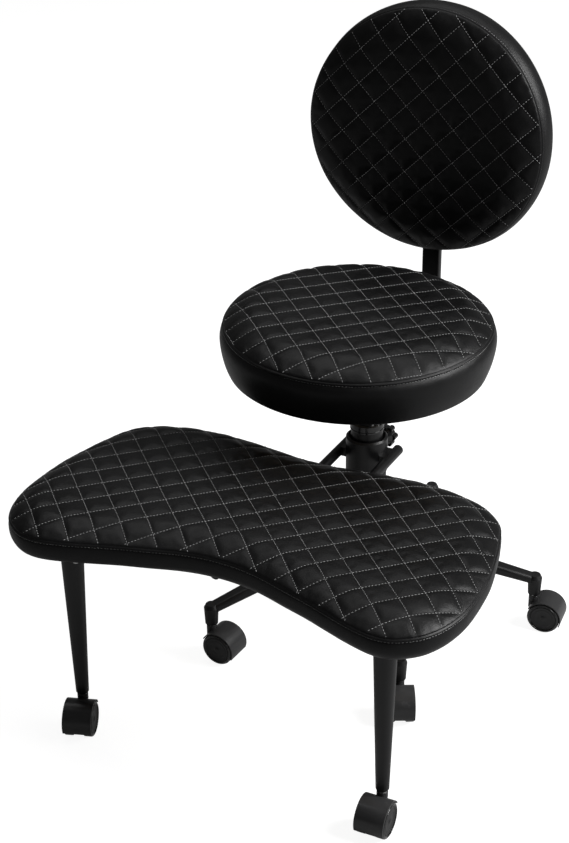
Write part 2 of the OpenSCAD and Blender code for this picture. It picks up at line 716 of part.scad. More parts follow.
// The back cushion, with a notch in its lower band where the bar comes in. A stitch
// crossing lies on the middle plane at this distance above its centre.
back_quilt_start = 18;
module back_cushion() {
    color(leather) translate([0, back_rear_y, back_z]) rotate([90, 0, 0]) difference() {
        quilted("round", back_r, round_end_shares, back_quilt_start, back_crown, back_depth, 0, back_side,
            back_board_inset, back_rear_y - back_board_y + back_board_t + fit_gap);
        translate([-bar_w / 2 - body_gap, -back_r - back_bulge - cut, -cut])
            cube([bar_w + 2 * body_gap, back_board_inset + back_bulge + 2 * cut,
                bar_t + 2 * body_gap + cut]);
    }
}
module back_panel() {
    edge = back_panel_t / 2;
    rim = back_r - back_tuck;
    color(leather) translate([0, back_rear_y, back_z]) rotate([-90, 0, 0])
        rotate_extrude($fn = round_fn) polygon([[0, 0], [rim, 0], [rim, edge],
            [rim - edge / 2, back_panel_t - edge / 2], [rim - edge, back_panel_t],
            [0, back_panel_t]]);
}

module swivel_collar() {
    color(steel_black) difference() {
        union() {
            translate([0, 0, collar_z]) rotate_extrude($fn = round_fn) polygon([[0, 0],
                [collar_r, 0], [collar_r, collar_h - collar_edge],
                [collar_r - collar_edge, collar_h], [0, collar_h]]);
            for (s = [-1, 1]) translate([s * (tube_x + collar_r - collar_wall) / 2, 0, tube_z])
                cube([tube_x - collar_r + collar_wall, lug_l, lug_h], center = true);
            translate([0, 0, knob_z]) rod_y(stud_boss_r, column_r, stud_boss_end);
        }
        translate([0, 0, collar_z - cut]) cylinder(r = collar_r - collar_wall,
            h = collar_h + 2 * cut, $fn = round_fn);
        for (s = [-1, 1]) translate([s * tube_x, 0, tube_z]) rod_y(tube_r + fit_gap,
            -lug_l, lug_l);
        translate([0, 0, knob_z]) rod_y(stud_r + fit_gap, 0, stud_boss_end + cut);
    }
}

module collar_liner() {
    color(gloss_black) difference() {
        translate([0, 0, collar_z]) rotate_extrude($fn = round_fn) polygon([
            [column_r + fit_gap, -liner_rim], [collar_r - cut, -liner_rim], [collar_r - cut, 0],
            [column_r + fit_gap + liner_wall, 0],
            [column_r + fit_gap + liner_wall, collar_h - groove_d],
            [column_r + fit_gap, collar_h - groove_d]]);
        translate([0, 0, knob_z]) rod_y(stud_r + body_gap, 0, collar_r);
    }
}

module rest_tubes() {
    color(steel_black) for (s = [-1, 1]) translate([s * tube_x, 0, tube_z]) difference() {
        rod_y(tube_r, -tube_front, tube_rear);
        rod_y(tube_r - tube_wall, -tube_front - cut, tube_rear + cut);
    }
}

module tube_caps() {
    color(plastic_black) for (s = [-1, 1]) translate([s * tube_x, 0, tube_z]) {
        rod_y(tube_r, tube_rear, tube_rear + cap_t);
        rod_y(tube_r - tube_wall - fit_gap, tube_rear - cap_in, tube_rear);
        rod_y(tube_r, -tube_front - cap_t, -tube_front);
        rod_y(tube_r - tube_wall - fit_gap, -tube_front, -tube_front + cap_in);
    }
}

// Holes of the leg rest's cross plates, and of the leg flanges
plate_holes = [for (y = plate_ys, i = [-1, 1]) [i * (plate_half - 12), y]];
flange_holes = [for (p = leg_places, i = [-1, 1], j = [-1, 1])
    p + (flange_half - 8) * [i, j]];

module rest_plates() {
    color(steel_black) translate([0, 0, plate_z]) difference() {
        for (y = plate_ys) translate([0, y]) linear_extrude(height = plate_t)
            round_rect(2 * plate_half, plate_l, flange_corner);
        for (p = plate_holes) translate([p[0], p[1], -cut])
            cylinder(r = screw_r + fit_gap, h = plate_t + 2 * cut, $fn = small_fn);
    }
}

module rest_screws() {
    color(bright_steel) {
        for (p = plate_holes) translate([p[0], p[1], plate_z]) screw(plate_screw_in);
        for (p = flange_holes) translate([p[0], p[1], rest_board_z - flange_t]) screw();
    }
}

module rest_board() {
    color(board_wood) translate([0, 0, rest_board_z]) difference() {
        linear_extrude(height = rest_board_t) polygon(inset_loop(seam_loop("rest", rest_half_w,
            columns(rest_half_w, end_shares)), rest_board_inset + body_gap));
        for (p = plate_holes) translate([p[0], p[1], -cut])
            cylinder(r = screw_r + fit_gap, h = plate_screw_in - plate_t + fit_gap + cut,
                $fn = small_fn);
        for (p = flange_holes) translate([p[0], p[1], -cut])
            cylinder(r = screw_r + fit_gap, h = screw_in - flange_t + fit_gap + cut, $fn = small_fn);
    }
}

// A stitch crossing lies on the middle plane at this distance from the rear lobes
rest_quilt_start = 150;
module rest_cushion() {
    color(leather) translate([0, 0, rest_bottom_z])
        quilted("rest", rest_half_w, end_shares, -(rest_rear + rest_quilt_start), rest_crown,
            rest_band_h, 0, rest_side, rest_board_inset,
            rest_board_t - rest_board_drop + fit_gap);
}

// A tapered leg with a rounded foot round the stem
module leg(place) {
    leg_top_z = rest_board_z - flange_t;
    foot_edge = 2;
    translate([place[0], place[1], socket_z]) difference() {
        rotate_extrude($fn = round_fn) polygon([[0, 0], [leg_foot_r - foot_edge / 2, 0],
            [leg_foot_r, foot_edge], [leg_top_r, leg_top_z - socket_z],
            [0, leg_top_z - socket_z]]);
        translate([0, 0, -cut]) cylinder(r = stem_r + fit_gap, h = stem_in + fit_gap + cut,
            $fn = round_fn);
    }
}
module leg_left() {
    color(steel_black) leg(leg_places[0]);
}
module leg_right() {
    color(steel_black) leg(leg_places[1]);
}

module leg_flanges() {
    color(steel_black) translate([0, 0, rest_board_z - flange_t]) difference() {
        for (p = leg_places) translate([p[0], p[1]]) linear_extrude(height = flange_t)
            round_rect(2 * flange_half, 2 * flange_half, flange_corner);
        for (p = flange_holes) translate([p[0], p[1], -cut])
            cylinder(r = screw_r + fit_gap, h = flange_t + 2 * cut, $fn = small_fn);
    }
}

module clamp_stud() {
    color(bright_steel) translate([0, 0, knob_z])
        rod_y(stud_r, column_r + body_gap, knob_y + knob_t / 2);
}

module clamp_knob() {
    color(plastic_black) translate([0, knob_y, knob_z]) rotate([-90, 0, 0]) difference() {
        union() {
            translate([0, 0, knob_boss_h]) linear_extrude(height = knob_t - knob_boss_h) {
                circle(r = knob_r - lobe_r, $fn = round_fn);
                for (k = [0:knob_lobes - 1]) rotate([0, 0, k * 360 / knob_lobes])
                    translate([knob_r - lobe_r, 0]) circle(r = lobe_r, $fn = small_fn);
            }
            cylinder(r1 = stud_r + lobe_r, r2 = knob_r - lobe_r, h = knob_boss_h, $fn = round_fn);
        }
        translate([0, 0, -cut]) cylinder(r = stud_r + fit_gap, h = cut + knob_t / 2 + fit_gap,
            $fn = round_fn);
    }
}

// Places a caster's own frame: stem on the Z axis, axle ahead of it along +X
module at_caster(k) {
    translate([caster_places[k][0], caster_places[k][1], 0]) rotate([0, 0, caster_turns[k]])
        children();
}

// Flat pieces of the hood in the X-Z plane, seen from -Y, about the axle
module hood_sector(r) {
    polygon(concat([[0, 0]], [for (a = [hood_end:(hood_start - hood_end) / 12:hood_start + 0.01])
        2 * r * [cos(a), sin(a)]]));
}
module hood_shell_2d() {
    intersection() {
        difference() {
            circle(r = hood_out_r, $fn = round_fn);
            circle(r = hood_in_r, $fn = round_fn);
        }
        hood_sector(hood_out_r);
    }
}
module hood_web_2d() {
    circle(r = axle_boss_r, $fn = round_fn);
    intersection() {
        circle(r = hood_out_r - hood_wall / 2, $fn = round_fn);
        polygon([[-trail - boss_r, hood_out_r], [-trail - boss_r, stem_foot_z - wheel_r],
            [-axle_boss_r, -axle_boss_r / 2], [0, -axle_boss_r], [axle_boss_r, 0],
            [hood_out_r * cos(hood_end) / 2, 0], [hood_out_r, hood_out_r / 4],
            [hood_out_r, hood_out_r]]);
    }
}

module hood(k) {
    color(plastic_black) at_caster(k) difference() {
        union() {
            translate([trail, wheel_out, wheel_r]) rotate([90, 0, 0])
                linear_extrude(height = 2 * wheel_out) hood_shell_2d();
            translate([trail, web_t / 2, wheel_r]) rotate([90, 0, 0])
                linear_extrude(height = web_t) hood_web_2d();
            intersection() {
                translate([0, 0, stem_foot_z - cut]) cylinder(r = boss_r,
                    h = boss_top_z - stem_foot_z, $fn = round_fn);
                translate([-2 * boss_r, -web_t / 2, 0])
                    cube([4 * boss_r, web_t, boss_top_z + cut]);
            }
            translate([0, 0, boss_top_z - boss_full_h]) cylinder(r = boss_r, h = boss_full_h,
                $fn = round_fn);
        }
        translate([0, 0, stem_foot_z - body_gap]) cylinder(r = stem_r + fit_gap,
            h = boss_top_z - stem_foot_z + body_gap + cut, $fn = round_fn);
        translate([trail, 0, wheel_r]) rod_y(axle_r + fit_gap, -wheel_out - cut, wheel_out + cut);
    }
}
module axle(k) {
    color(bright_steel) at_caster(k) translate([trail, 0, wheel_r])
        rod_y(axle_r, -axle_end, axle_end);
}

// One wheel: a rounded tread, a raised bright rim and a dished face, with a blind bore
module wheel(k, side) {
    color(gloss_black) at_caster(k) translate([trail, 0, wheel_r]) rotate([side * -90, 0, 0])
        translate([0, 0, wheel_in]) rotate_extrude($fn = round_fn) polygon([
            [axle_r + fit_gap, 0], [wheel_r - wheel_edge, 0], [wheel_r, wheel_edge],
            [wheel_r, wheel_w - wheel_edge], [wheel_r - wheel_edge / 2, wheel_w - wheel_edge / 4],
            [wheel_r - wheel_edge, wheel_w], [wheel_r * dish_r_share + dish_d, wheel_w],
            [wheel_r * dish_r_share, wheel_w - dish_d], [0, wheel_w - dish_d],
            [0, wheel_w - wheel_face - dish_d / 2],
            [axle_r + fit_gap, wheel_w - wheel_face - dish_d / 2]]);
}

module hood_1() { hood(0); }
module hood_2() { hood(1); }
module hood_3() { hood(2); }
module hood_4() { hood(3); }
module hood_5() { hood(4); }
module hood_6() { hood(5); }
module hood_7() { hood(6); }
module axle_1() { axle(0); }
module axle_2() { axle(1); }
module axle_3() { axle(2); }
module axle_4() { axle(3); }
module axle_5() { axle(4); }
module axle_6() { axle(5); }
module axle_7() { axle(6); }
module wheel_1a() { wheel(0, 1); }
module wheel_1b() { wheel(0, -1); }
module wheel_2a() { wheel(1, 1); }
module wheel_2b() { wheel(1, -1); }
module wheel_3a() { wheel(2, 1); }
module wheel_3b() { wheel(2, -1); }
module wheel_4a() { wheel(3, 1); }
module wheel_4b() { wheel(3, -1); }
module wheel_5a() { wheel(4, 1); }
module wheel_5b() { wheel(4, -1); }
module wheel_6a() { wheel(5, 1); }
module wheel_6b() { wheel(5, -1); }
module wheel_7a() { wheel(6, 1); }
module wheel_7b() { wheel(6, -1); }

star_base();
column_tube();
column_bush();
support_ring();
caster_stems();
gas_rod();
pressure_tube();
seat_mechanism();
lever_rod();
lever_grip();
seat_board();
seat_cushion();
seat_screws();
back_bar();
back_plate();
back_board();
back_cushion();
back_panel();
swivel_collar();
collar_liner();
rest_tubes();
tube_caps();
rest_plates();
rest_screws();
rest_board();
rest_cushion();
leg_left();
leg_right();
leg_flanges();
leg_stems();
clamp_stud();
clamp_knob();
hood_1();
hood_2();
hood_3();
hood_4();
hood_5();
hood_6();
hood_7();
axle_1();
axle_2();
axle_3();
axle_4();
axle_5();
axle_6();
axle_7();
wheel_1a();
wheel_1b();
wheel_2a();
wheel_2b();
wheel_3a();
wheel_3b();
wheel_4a();
wheel_4b();
wheel_5a();
wheel_5b();
wheel_6a();
wheel_6b();
wheel_7a();
wheel_7b();
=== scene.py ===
import json
import math
from dataclasses import dataclass

import bmesh
import bpy
import numpy as np
from bpy.props import FloatProperty, FloatVectorProperty, IntProperty, PointerProperty
from bpy.types import Operator, Panel, PropertyGroup
from mathutils import Matrix, Vector, noise
from mathutils.bvhtree import BVHTree
from mathutils.kdtree import KDTree

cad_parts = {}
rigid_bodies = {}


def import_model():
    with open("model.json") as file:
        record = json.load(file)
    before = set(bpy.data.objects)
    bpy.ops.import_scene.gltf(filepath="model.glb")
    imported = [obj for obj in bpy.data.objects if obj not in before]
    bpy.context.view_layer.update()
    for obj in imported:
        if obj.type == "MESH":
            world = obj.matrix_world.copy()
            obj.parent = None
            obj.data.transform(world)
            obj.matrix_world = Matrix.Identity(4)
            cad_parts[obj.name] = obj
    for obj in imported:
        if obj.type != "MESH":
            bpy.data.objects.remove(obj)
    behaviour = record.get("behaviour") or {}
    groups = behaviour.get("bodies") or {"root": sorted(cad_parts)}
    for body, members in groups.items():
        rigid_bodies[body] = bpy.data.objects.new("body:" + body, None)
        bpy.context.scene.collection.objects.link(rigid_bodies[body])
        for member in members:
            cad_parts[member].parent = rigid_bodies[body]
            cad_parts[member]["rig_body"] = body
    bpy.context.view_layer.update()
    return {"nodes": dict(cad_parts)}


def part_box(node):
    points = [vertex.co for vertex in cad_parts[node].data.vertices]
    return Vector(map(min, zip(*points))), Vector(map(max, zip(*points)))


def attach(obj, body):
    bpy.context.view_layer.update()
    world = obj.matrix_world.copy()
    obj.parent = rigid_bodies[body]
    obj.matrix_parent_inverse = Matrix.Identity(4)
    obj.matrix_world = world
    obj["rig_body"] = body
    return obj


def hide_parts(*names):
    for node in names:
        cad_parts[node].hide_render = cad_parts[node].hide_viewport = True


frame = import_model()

bl_info = {
    "name": "Cross-legged office chair",
    "version": (1, 0, 0),
    "blender": (4, 5, 0),
    "location": "3D View > Sidebar > Chair",
    "description": "Quilted pads, finishes, small parts and stage of a cross-legged office chair",
    "category": "Object",
}

# Places that the pads take from the frame, in metres
SEAT_CENTRE = Vector((0, -0.038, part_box("seat_cushion")[0].z))
BACK_CENTRE = Vector((0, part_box("back_cushion")[1].y, 0.7495))
REST_CENTRE = Vector((0, 0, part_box("rest_cushion")[0].z))

# Outline of the leg rest: share of the half width, then share of the depth from the
# front lobes to the rear lobes, for the front edge and the rear edge
FRONT_SHARES = [(0, 0.179), (0.09, 0.174), (0.18, 0.158), (0.31, 0.121), (0.415, 0.092),
                (0.515, 0.059), (0.615, 0.027), (0.71, 0.004), (0.765, 0), (0.815, 0.008),
                (0.86, 0.029), (0.923, 0.08), (0.967, 0.152), (0.992, 0.235), (1, 0.312)]
REAR_SHARES = [(0, 0.96), (0.09, 0.965), (0.18, 0.976), (0.267, 0.987), (0.37, 0.996),
               (0.475, 1), (0.58, 0.993), (0.677, 0.975), (0.766, 0.945), (0.83, 0.905),
               (0.887, 0.845), (0.926, 0.752), (0.958, 0.645), (0.985, 0.533), (0.994, 0.459)]

# Sides of the pads from the seam down, in metres: outward offset, distance below the seam.
# Each starts with the seam's fold, a thin roll and the groove of the topstitched row.
SEAM_ROLL = [(-0.0020, 0.0007), (-0.0008, 0.0015), (0.0007, 0.0026), (0.0010, 0.0038),
             (0.0005, 0.0049), (-0.0006, 0.0057), (0.0004, 0.0067)]
SEAT_SIDE = SEAM_ROLL + [(0.0020, 0.0090), (0.0036, 0.0125), (0.0048, 0.0170), (0.0052, 0.0225),
                         (0.0047, 0.0300), (0.0036, 0.0375), (0.0018, 0.0470), (-0.0006, 0.0560),
                         (-0.0028, 0.0625), (-0.0048, 0.0680), (-0.0062, 0.0712),
                         (-0.0080, 0.0730)]
BACK_SIDE = SEAM_ROLL + [(0.0018, 0.0090), (0.0032, 0.0130), (0.0042, 0.0180), (0.0045, 0.0240),
                         (0.0039, 0.0310), (0.0026, 0.0380), (0.0006, 0.0430),
                         (-0.0008, 0.0448), (-0.0026, 0.0457), (-0.0012, 0.0466),
                         (-0.0006, 0.0480), (-0.0014, 0.0494), (-0.0040, 0.0505),
                         (-0.0100, 0.0510)]
REST_SIDE = SEAM_ROLL + [(0.0010, 0.0095), (0.0015, 0.0130), (0.0016, 0.0175), (0.0011, 0.0222),
                         (0.0000, 0.0266), (-0.0026, 0.0312), (-0.0056, 0.0348),
                         (-0.0092, 0.0378), (-0.0140, 0.0400)]
TOPSTITCH = (-0.0006, 0.0057)    # the stitched row's own offset and distance

UP = Vector((0, 0, 1))
BACK_PLACE = Matrix.Translation(BACK_CENTRE) @ Matrix.Rotation(math.radians(90), 4, "X")
SAME_POINT = 1e-6


# ---------------------------------------------------------------------------- settings

def length(name, about, value, low, high):
    return FloatProperty(name=name, description=about, default=value, min=low, max=high,
                         unit="LENGTH")


def tint(name, about, red, green, blue):
    return FloatVectorProperty(name=name, description=about, size=4, subtype="COLOR",
                               default=(red, green, blue, 1), min=0, max=1)


class ChairQuiltSettings(PropertyGroup):
    step: length("Quilt step", "Half of the distance between stitch crossings",
                 0.026, 0.02, 0.04)
    puff: length("Puff", "Height of a padded diamond above its stitches", 0.0020, 0.001, 0.006)
    swell: length("Swell", "Most that the padding may swell past its pattern",
                  0.0007, 0.0, 0.005)
    cuts: IntProperty(name="Cuts", description="Strips of mesh between two stitch lines",
                      default=8, min=4, max=10)
    stitch: length("Stitch", "Length of one stitch of thread", 0.0031, 0.002, 0.006)
    gap: length("Stitch gap", "Distance between two stitches", 0.0014, 0.0005, 0.004)
    thread: length("Thread", "Width of the thread", 0.00088, 0.0004, 0.002)


class ChairPadSettings(PropertyGroup):
    seat_radius: length("Seat radius", "Radius of the seat at its seam", 0.2, 0.17, 0.24)
    seat_band: length("Seat band", "Height of the seat's side band", 0.073, 0.05, 0.11)
    seat_drop: length("Seat drop", "Drop of the seat's seam at the front", 0.004, 0, 0.024)
    seat_crown: length("Seat crown", "Height of the seat's top over its seam",
                       0.019, 0.003, 0.04)
    back_radius: length("Back radius", "Radius of the back at its face seam", 0.191, 0.15, 0.22)
    back_depth: length("Back depth", "Depth of the back from face seam to rear",
                       0.051, 0.04, 0.07)
    back_crown: length("Back crown", "Height of the back's face over its seam",
                       0.014, 0.004, 0.03)
    back_bow: length("Back bow", "How far the back's sides come forward", 0.008, 0, 0.01)
    rest_half_width: length("Leg rest half width", "Half of the leg rest's width",
                            0.341, 0.28, 0.38)
    rest_depth: length("Leg rest depth", "Depth from front lobes to rear lobes",
                       0.375, 0.32, 0.42)
    rest_rear: length("Leg rest rear", "Rear lobes in front of the column axis",
                      0.157, 0.12, 0.22)
    rest_band: length("Leg rest band", "Height of the leg rest's side band", 0.04, 0.03, 0.046)
    rest_crown: length("Leg rest crown", "Height of its top over its seam", 0.016, 0.004, 0.02)


class ChairFinishSettings(PropertyGroup):
    leather: tint("Leather", "Colour of the leather", 0.0042, 0.0042, 0.0044)
    thread: tint("Thread", "Colour of the sewing thread", 0.36, 0.36, 0.36)
    coat: tint("Powder coat", "Colour of the coated steel", 0.0065, 0.0065, 0.0068)
    plastic: tint("Plastic", "Colour of the moulded plastic", 0.034, 0.034, 0.0348)
    wheel_face: tint("Wheel face", "Colour of the wheels' discs", 0.011, 0.011, 0.0115)
    ply: tint("Plywood", "Colour of the plywood boards", 0.46, 0.33, 0.2)


class ChairStageSettings(PropertyGroup):
    key: FloatProperty(name="Key light", description="Power of the large light on the right",
                       default=150.0, min=0, max=1000, subtype="POWER")
    top: FloatProperty(name="Top light", description="Power of the light overhead",
                       default=26.0, min=0, max=1000, subtype="POWER")
    room: FloatProperty(name="Room light", description="Brightness of the room round the chair",
                        default=0.04, min=0, max=2)
    floor: tint("Floor", "Colour of the floor", 0.36, 0.36, 0.36)


# ---------------------------------------------------------------------------- node helpers

# Where slow noise turns from one patch, rubbed spot or speck of dust to the next
PATCH_EDGES, RUB_EDGES, SPECK_EDGES = (0.35, 0.65), (0.62, 0.74), (0.42, 0.7)
PEBBLE_EDGE, CREASE_EDGE = 0.22, 0.05         # width of the leather's grooves in the noise
PEBBLE_SHARE = 0.62                           # of the grain's height; the rest is creases
LOW_COLOUR, HIGH_COLOUR, MIXED_COLOUR = 6, 7, 2    # the colour sockets of a Mix node


def add_node(tree, kind, **values):
    """A node with its settings and plain socket values; a key may be a socket or a setting."""
    made = tree.nodes.new(kind)
    for key, value in values.items():
        if key in made.bl_rna.properties:
            setattr(made, key, value)
        else:
            made.inputs[key.replace("_", " ").title()].default_value = value
    return made


def wire(tree, source, target):
    tree.links.new(source, target)


def shade_group(name, inputs, outputs):
    """An empty shader node group with named number sockets."""
    tree = bpy.data.node_groups.new(name, "ShaderNodeTree")
    for label, value in inputs.items():
        tree.interface.new_socket(name=label, in_out="INPUT",
                                  socket_type="NodeSocketFloat").default_value = value
    for label in outputs:
        tree.interface.new_socket(name=label, in_out="OUTPUT", socket_type="NodeSocketFloat")
    return tree, tree.nodes.new("NodeGroupInput"), tree.nodes.new("NodeGroupOutput")


def feed(tree, value, socket):
    """Wires an output to a socket, or writes a plain value there."""
    if hasattr(value, "is_linked"):
        wire(tree, value, socket)
    else:
        socket.default_value = value


def math_node(tree, operation, a, b=None, clamp=False):
    n = tree.nodes.new("ShaderNodeMath")
    n.operation, n.use_clamp = operation, clamp
    for socket, value in zip(n.inputs, (a, b)):
        if value is not None:
            feed(tree, value, socket)
    return n.outputs[0]


def range_node(tree, value, low, high, to_low=0.0, to_high=1.0):
    n = add_node(tree, "ShaderNodeMapRange", interpolation_type="SMOOTHSTEP", From_Min=low,
                 From_Max=high, To_Min=to_low, To_Max=to_high)
    wire(tree, value, n.inputs["Value"])
    return n.outputs["Result"]


def object_place(tree):
    return tree.nodes.new("ShaderNodeTexCoord").outputs["Object"]


def texture(tree, kind, place, scale=1.0, **values):
    """A texture read at a place, with a plain scale or a wired one."""
    n = add_node(tree, "ShaderNodeTex" + kind, **values)
    wire(tree, place, n.inputs["Vector"])
    feed(tree, scale, n.inputs["Scale"])
    return n


def facing(tree):
    """The way a face looks, as three numbers."""
    n = tree.nodes.new("ShaderNodeSeparateXYZ")
    wire(tree, tree.nodes.new("ShaderNodeNewGeometry").outputs["Normal"], n.inputs[0])
    return n


def grain_group():
    """Leather grain: pebbles with fine creases between them, and slow patches."""
    tree, given, result = shade_group("Leather grain", {"Pebbles": 620.0, "Creases": 34.0},
                                      ["Height", "Patches"])
    place = object_place(tree)
    cells = texture(tree, "Voronoi", place, given.outputs["Pebbles"],
                    feature="DISTANCE_TO_EDGE", randomness=1.0)
    pebble = range_node(tree, cells.outputs["Distance"], 0.0, PEBBLE_EDGE)
    wrinkle = texture(tree, "Noise", place, given.outputs["Creases"], detail=5.0,
                      roughness=0.62, distortion=0.6)
    fold = math_node(tree, "ABSOLUTE", math_node(tree, "SUBTRACT", wrinkle.outputs["Fac"], 0.5))
    fold = range_node(tree, fold, 0.0, CREASE_EDGE)
    height = math_node(tree, "ADD", math_node(tree, "MULTIPLY", pebble, PEBBLE_SHARE),
                       math_node(tree, "MULTIPLY", fold, 1 - PEBBLE_SHARE))
    slow = texture(tree, "Noise", place, scale=9.0, detail=3.0, roughness=0.5)
    wire(tree, height, result.inputs["Height"])
    wire(tree, range_node(tree, slow.outputs["Fac"], *PATCH_EDGES), result.inputs["Patches"])
    return tree


def coat_group():
    """Sprayed or moulded surface: fine orange peel, slow patches, and rubbed spots."""
    tree, given, result = shade_group("Sprayed surface", {"Peel": 900.0, "Rub": 26.0},
                                      ["Height", "Patches", "Rubbed"])
    place = object_place(tree)
    peel = texture(tree, "Noise", place, given.outputs["Peel"], detail=2.0, roughness=0.45)
    slow = texture(tree, "Noise", place, scale=14.0, detail=4.0, roughness=0.55)
    rub = texture(tree, "Noise", place, given.outputs["Rub"], detail=6.0, roughness=0.7)
    wire(tree, peel.outputs["Fac"], result.inputs["Height"])
    wire(tree, range_node(tree, slow.outputs["Fac"], *PATCH_EDGES), result.inputs["Patches"])
    wire(tree, range_node(tree, rub.outputs["Fac"], *RUB_EDGES), result.inputs["Rubbed"])
    return tree


def dust_group():
    """Light dust that settles on faces that look up."""
    tree, given, result = shade_group("Settled dust", {"Amount": 0.06}, ["Dust"])
    up = range_node(tree, facing(tree).outputs["Z"], 0.2, 1.0)
    specks = texture(tree, "Noise", object_place(tree), scale=120.0, detail=6.0, roughness=0.75)
    spots = range_node(tree, specks.outputs["Fac"], *SPECK_EDGES, to_low=0.2)
    wire(tree, math_node(tree, "MULTIPLY", math_node(tree, "MULTIPLY", up, spots),
                         given.outputs["Amount"]), result.inputs["Dust"])
    return tree


# ---------------------------------------------------------------------------- finishes

# Colour of the dust on each, and how much lies there
LEATHER_DUST, LEATHER_SETTLED = (0.25, 0.24, 0.23, 1), 0.008
PLY_DUST, PLY_SETTLED = (0.4, 0.38, 0.35, 1), 0.05
COAT_DUST = (0.3, 0.29, 0.28, 1)

# Tones of the patches as shares of the colour, and the sheen's spread
LEATHER_TONES, COAT_TONES, THREAD_TONES = (0.85, 1.25), (0.88, 1.15), (0.75, 1.3)
FACE_TONES, PLIES_TONES = (0.62, 1.12), (0.4, 1.0)
THREAD_WORN = 0.6
LEATHER_ROUGH, LEATHER_GLOSS = (0.36, 0.45), 0.22
COAT_SPREAD, LACQUER_ROUGH = (0.86, 1.16), 0.08
PLY_ROUGH, THREAD_ROUGH = (0.5, 0.68), (0.55, 0.75)

# Coated, plated and moulded finishes: name, colour or the setting that holds it, and the
# rest of what coat_material takes
COATED = [
    ("powder coat", "coat", {"rough": 0.36, "gloss": 0.38, "peel": 1100.0, "depth": 0.00012}),
    ("leg coat", "coat", {"rough": 0.34, "gloss": 0.38, "peel": 1100.0, "depth": 0.0001}),
    ("gloss coat", (0.006, 0.006, 0.0062),
     {"rough": 0.14, "peel": 700.0, "depth": 0.00003, "lacquer": 0.4}),
    ("hood plastic", "plastic", {"rough": 0.32, "gloss": 0.42, "peel": 1900.0,
                                 "depth": 0.00008}),
    ("bush plastic", (0.005, 0.005, 0.0053),
     {"rough": 0.18, "peel": 1300.0, "depth": 0.00004, "lacquer": 0.3}),
    ("tread", (0.0055, 0.0055, 0.0058),
     {"rough": 0.12, "peel": 800.0, "depth": 0.00003, "settled": 0.02, "lacquer": 0.5}),
    ("wheel face", "wheel_face", {"rough": 0.42, "gloss": 0.45, "peel": 1500.0,
                                  "depth": 0.0001}),
    ("zinc", (0.58, 0.58, 0.57),
     {"rough": 0.24, "peel": 1600.0, "depth": 0.00004, "rub": 0.7, "metallic": 1.0}),
    ("chrome", (0.72, 0.72, 0.72),
     {"rough": 0.08, "peel": 900.0, "depth": 0.00001, "rub": 0.85, "metallic": 1.0}),
    ("weld", "coat", {"rough": 0.34, "peel": 700.0, "depth": 0.0002, "lighter": 1.4}),
]


def empty_tree(block):
    """The nodes of a material or world, cleared."""
    block.use_nodes = True
    block.node_tree.nodes.clear()
    return block.node_tree


def new_material(name):
    tree = empty_tree(bpy.data.materials.new(name))
    shader = tree.nodes.new("ShaderNodeBsdfPrincipled")
    wire(tree, shader.outputs[0], tree.nodes.new("ShaderNodeOutputMaterial").inputs["Surface"])
    return tree, shader


def blend_colour(tree, factor, low, high):
    n = tree.nodes.new("ShaderNodeMix")
    n.data_type = "RGBA"
    wire(tree, factor, n.inputs["Factor"])
    feed(tree, low, n.inputs[LOW_COLOUR])
    feed(tree, high, n.inputs[HIGH_COLOUR])
    return n.outputs[MIXED_COLOUR]


def brighter(colour, by):
    return (*[min(1.0, c * by) for c in colour[:3]], 1.0)


def two_tone(tree, factor, colour, tones):
    """A darker and a lighter tone of a colour, mixed by a factor."""
    return blend_colour(tree, factor, *(brighter(colour, by) for by in tones))


def bump(tree, shader, height, strength, distance):
    n = add_node(tree, "ShaderNodeBump", Strength=strength, Distance=distance)
    wire(tree, height, n.inputs["Height"])
    wire(tree, n.outputs["Normal"], shader.inputs["Normal"])


def dusted(tree, shader, base, dust, amount, dust_colour):
    """Gives the shader a base colour under a little dust."""
    d = add_node(tree, "ShaderNodeGroup", node_tree=dust, Amount=amount)
    wire(tree, blend_colour(tree, d.outputs["Dust"], base, dust_colour),
         shader.inputs["Base Color"])


def leather_material(name, colour, grain, dust):
    tree, shader = new_material(name)
    g = add_node(tree, "ShaderNodeGroup", node_tree=grain)
    base = two_tone(tree, g.outputs["Patches"], colour, LEATHER_TONES)
    dusted(tree, shader, base, dust, LEATHER_SETTLED, LEATHER_DUST)
    wire(tree, range_node(tree, g.outputs["Patches"], 0, 1, *LEATHER_ROUGH),
         shader.inputs["Roughness"])
    shader.inputs["Specular IOR Level"].default_value = LEATHER_GLOSS
    bump(tree, shader, g.outputs["Height"], 0.35, 0.00025)


def coat_material(name, colour, coat, dust, rough, peel, depth, gloss=0.5, lighter=1.0, rub=1.8,
                  settled=0.012, metallic=0.0, lacquer=0.0):
    tree, shader = new_material(name)
    c = add_node(tree, "ShaderNodeGroup", node_tree=coat, Peel=peel)
    colour = brighter(colour, lighter)
    base = two_tone(tree, c.outputs["Patches"], colour, COAT_TONES)
    base = blend_colour(tree, c.outputs["Rubbed"], base, brighter(colour, rub))
    dusted(tree, shader, base, dust, settled, COAT_DUST)
    spread = (rough * by for by in COAT_SPREAD)
    wire(tree, range_node(tree, c.outputs["Patches"], 0, 1, *spread), shader.inputs["Roughness"])
    shader.inputs["Specular IOR Level"].default_value = gloss
    shader.inputs["Metallic"].default_value = metallic
    if lacquer:
        shader.inputs["Coat Weight"].default_value = lacquer
        shader.inputs["Coat Roughness"].default_value = LACQUER_ROUGH
    bump(tree, shader, c.outputs["Height"], 0.35, depth)


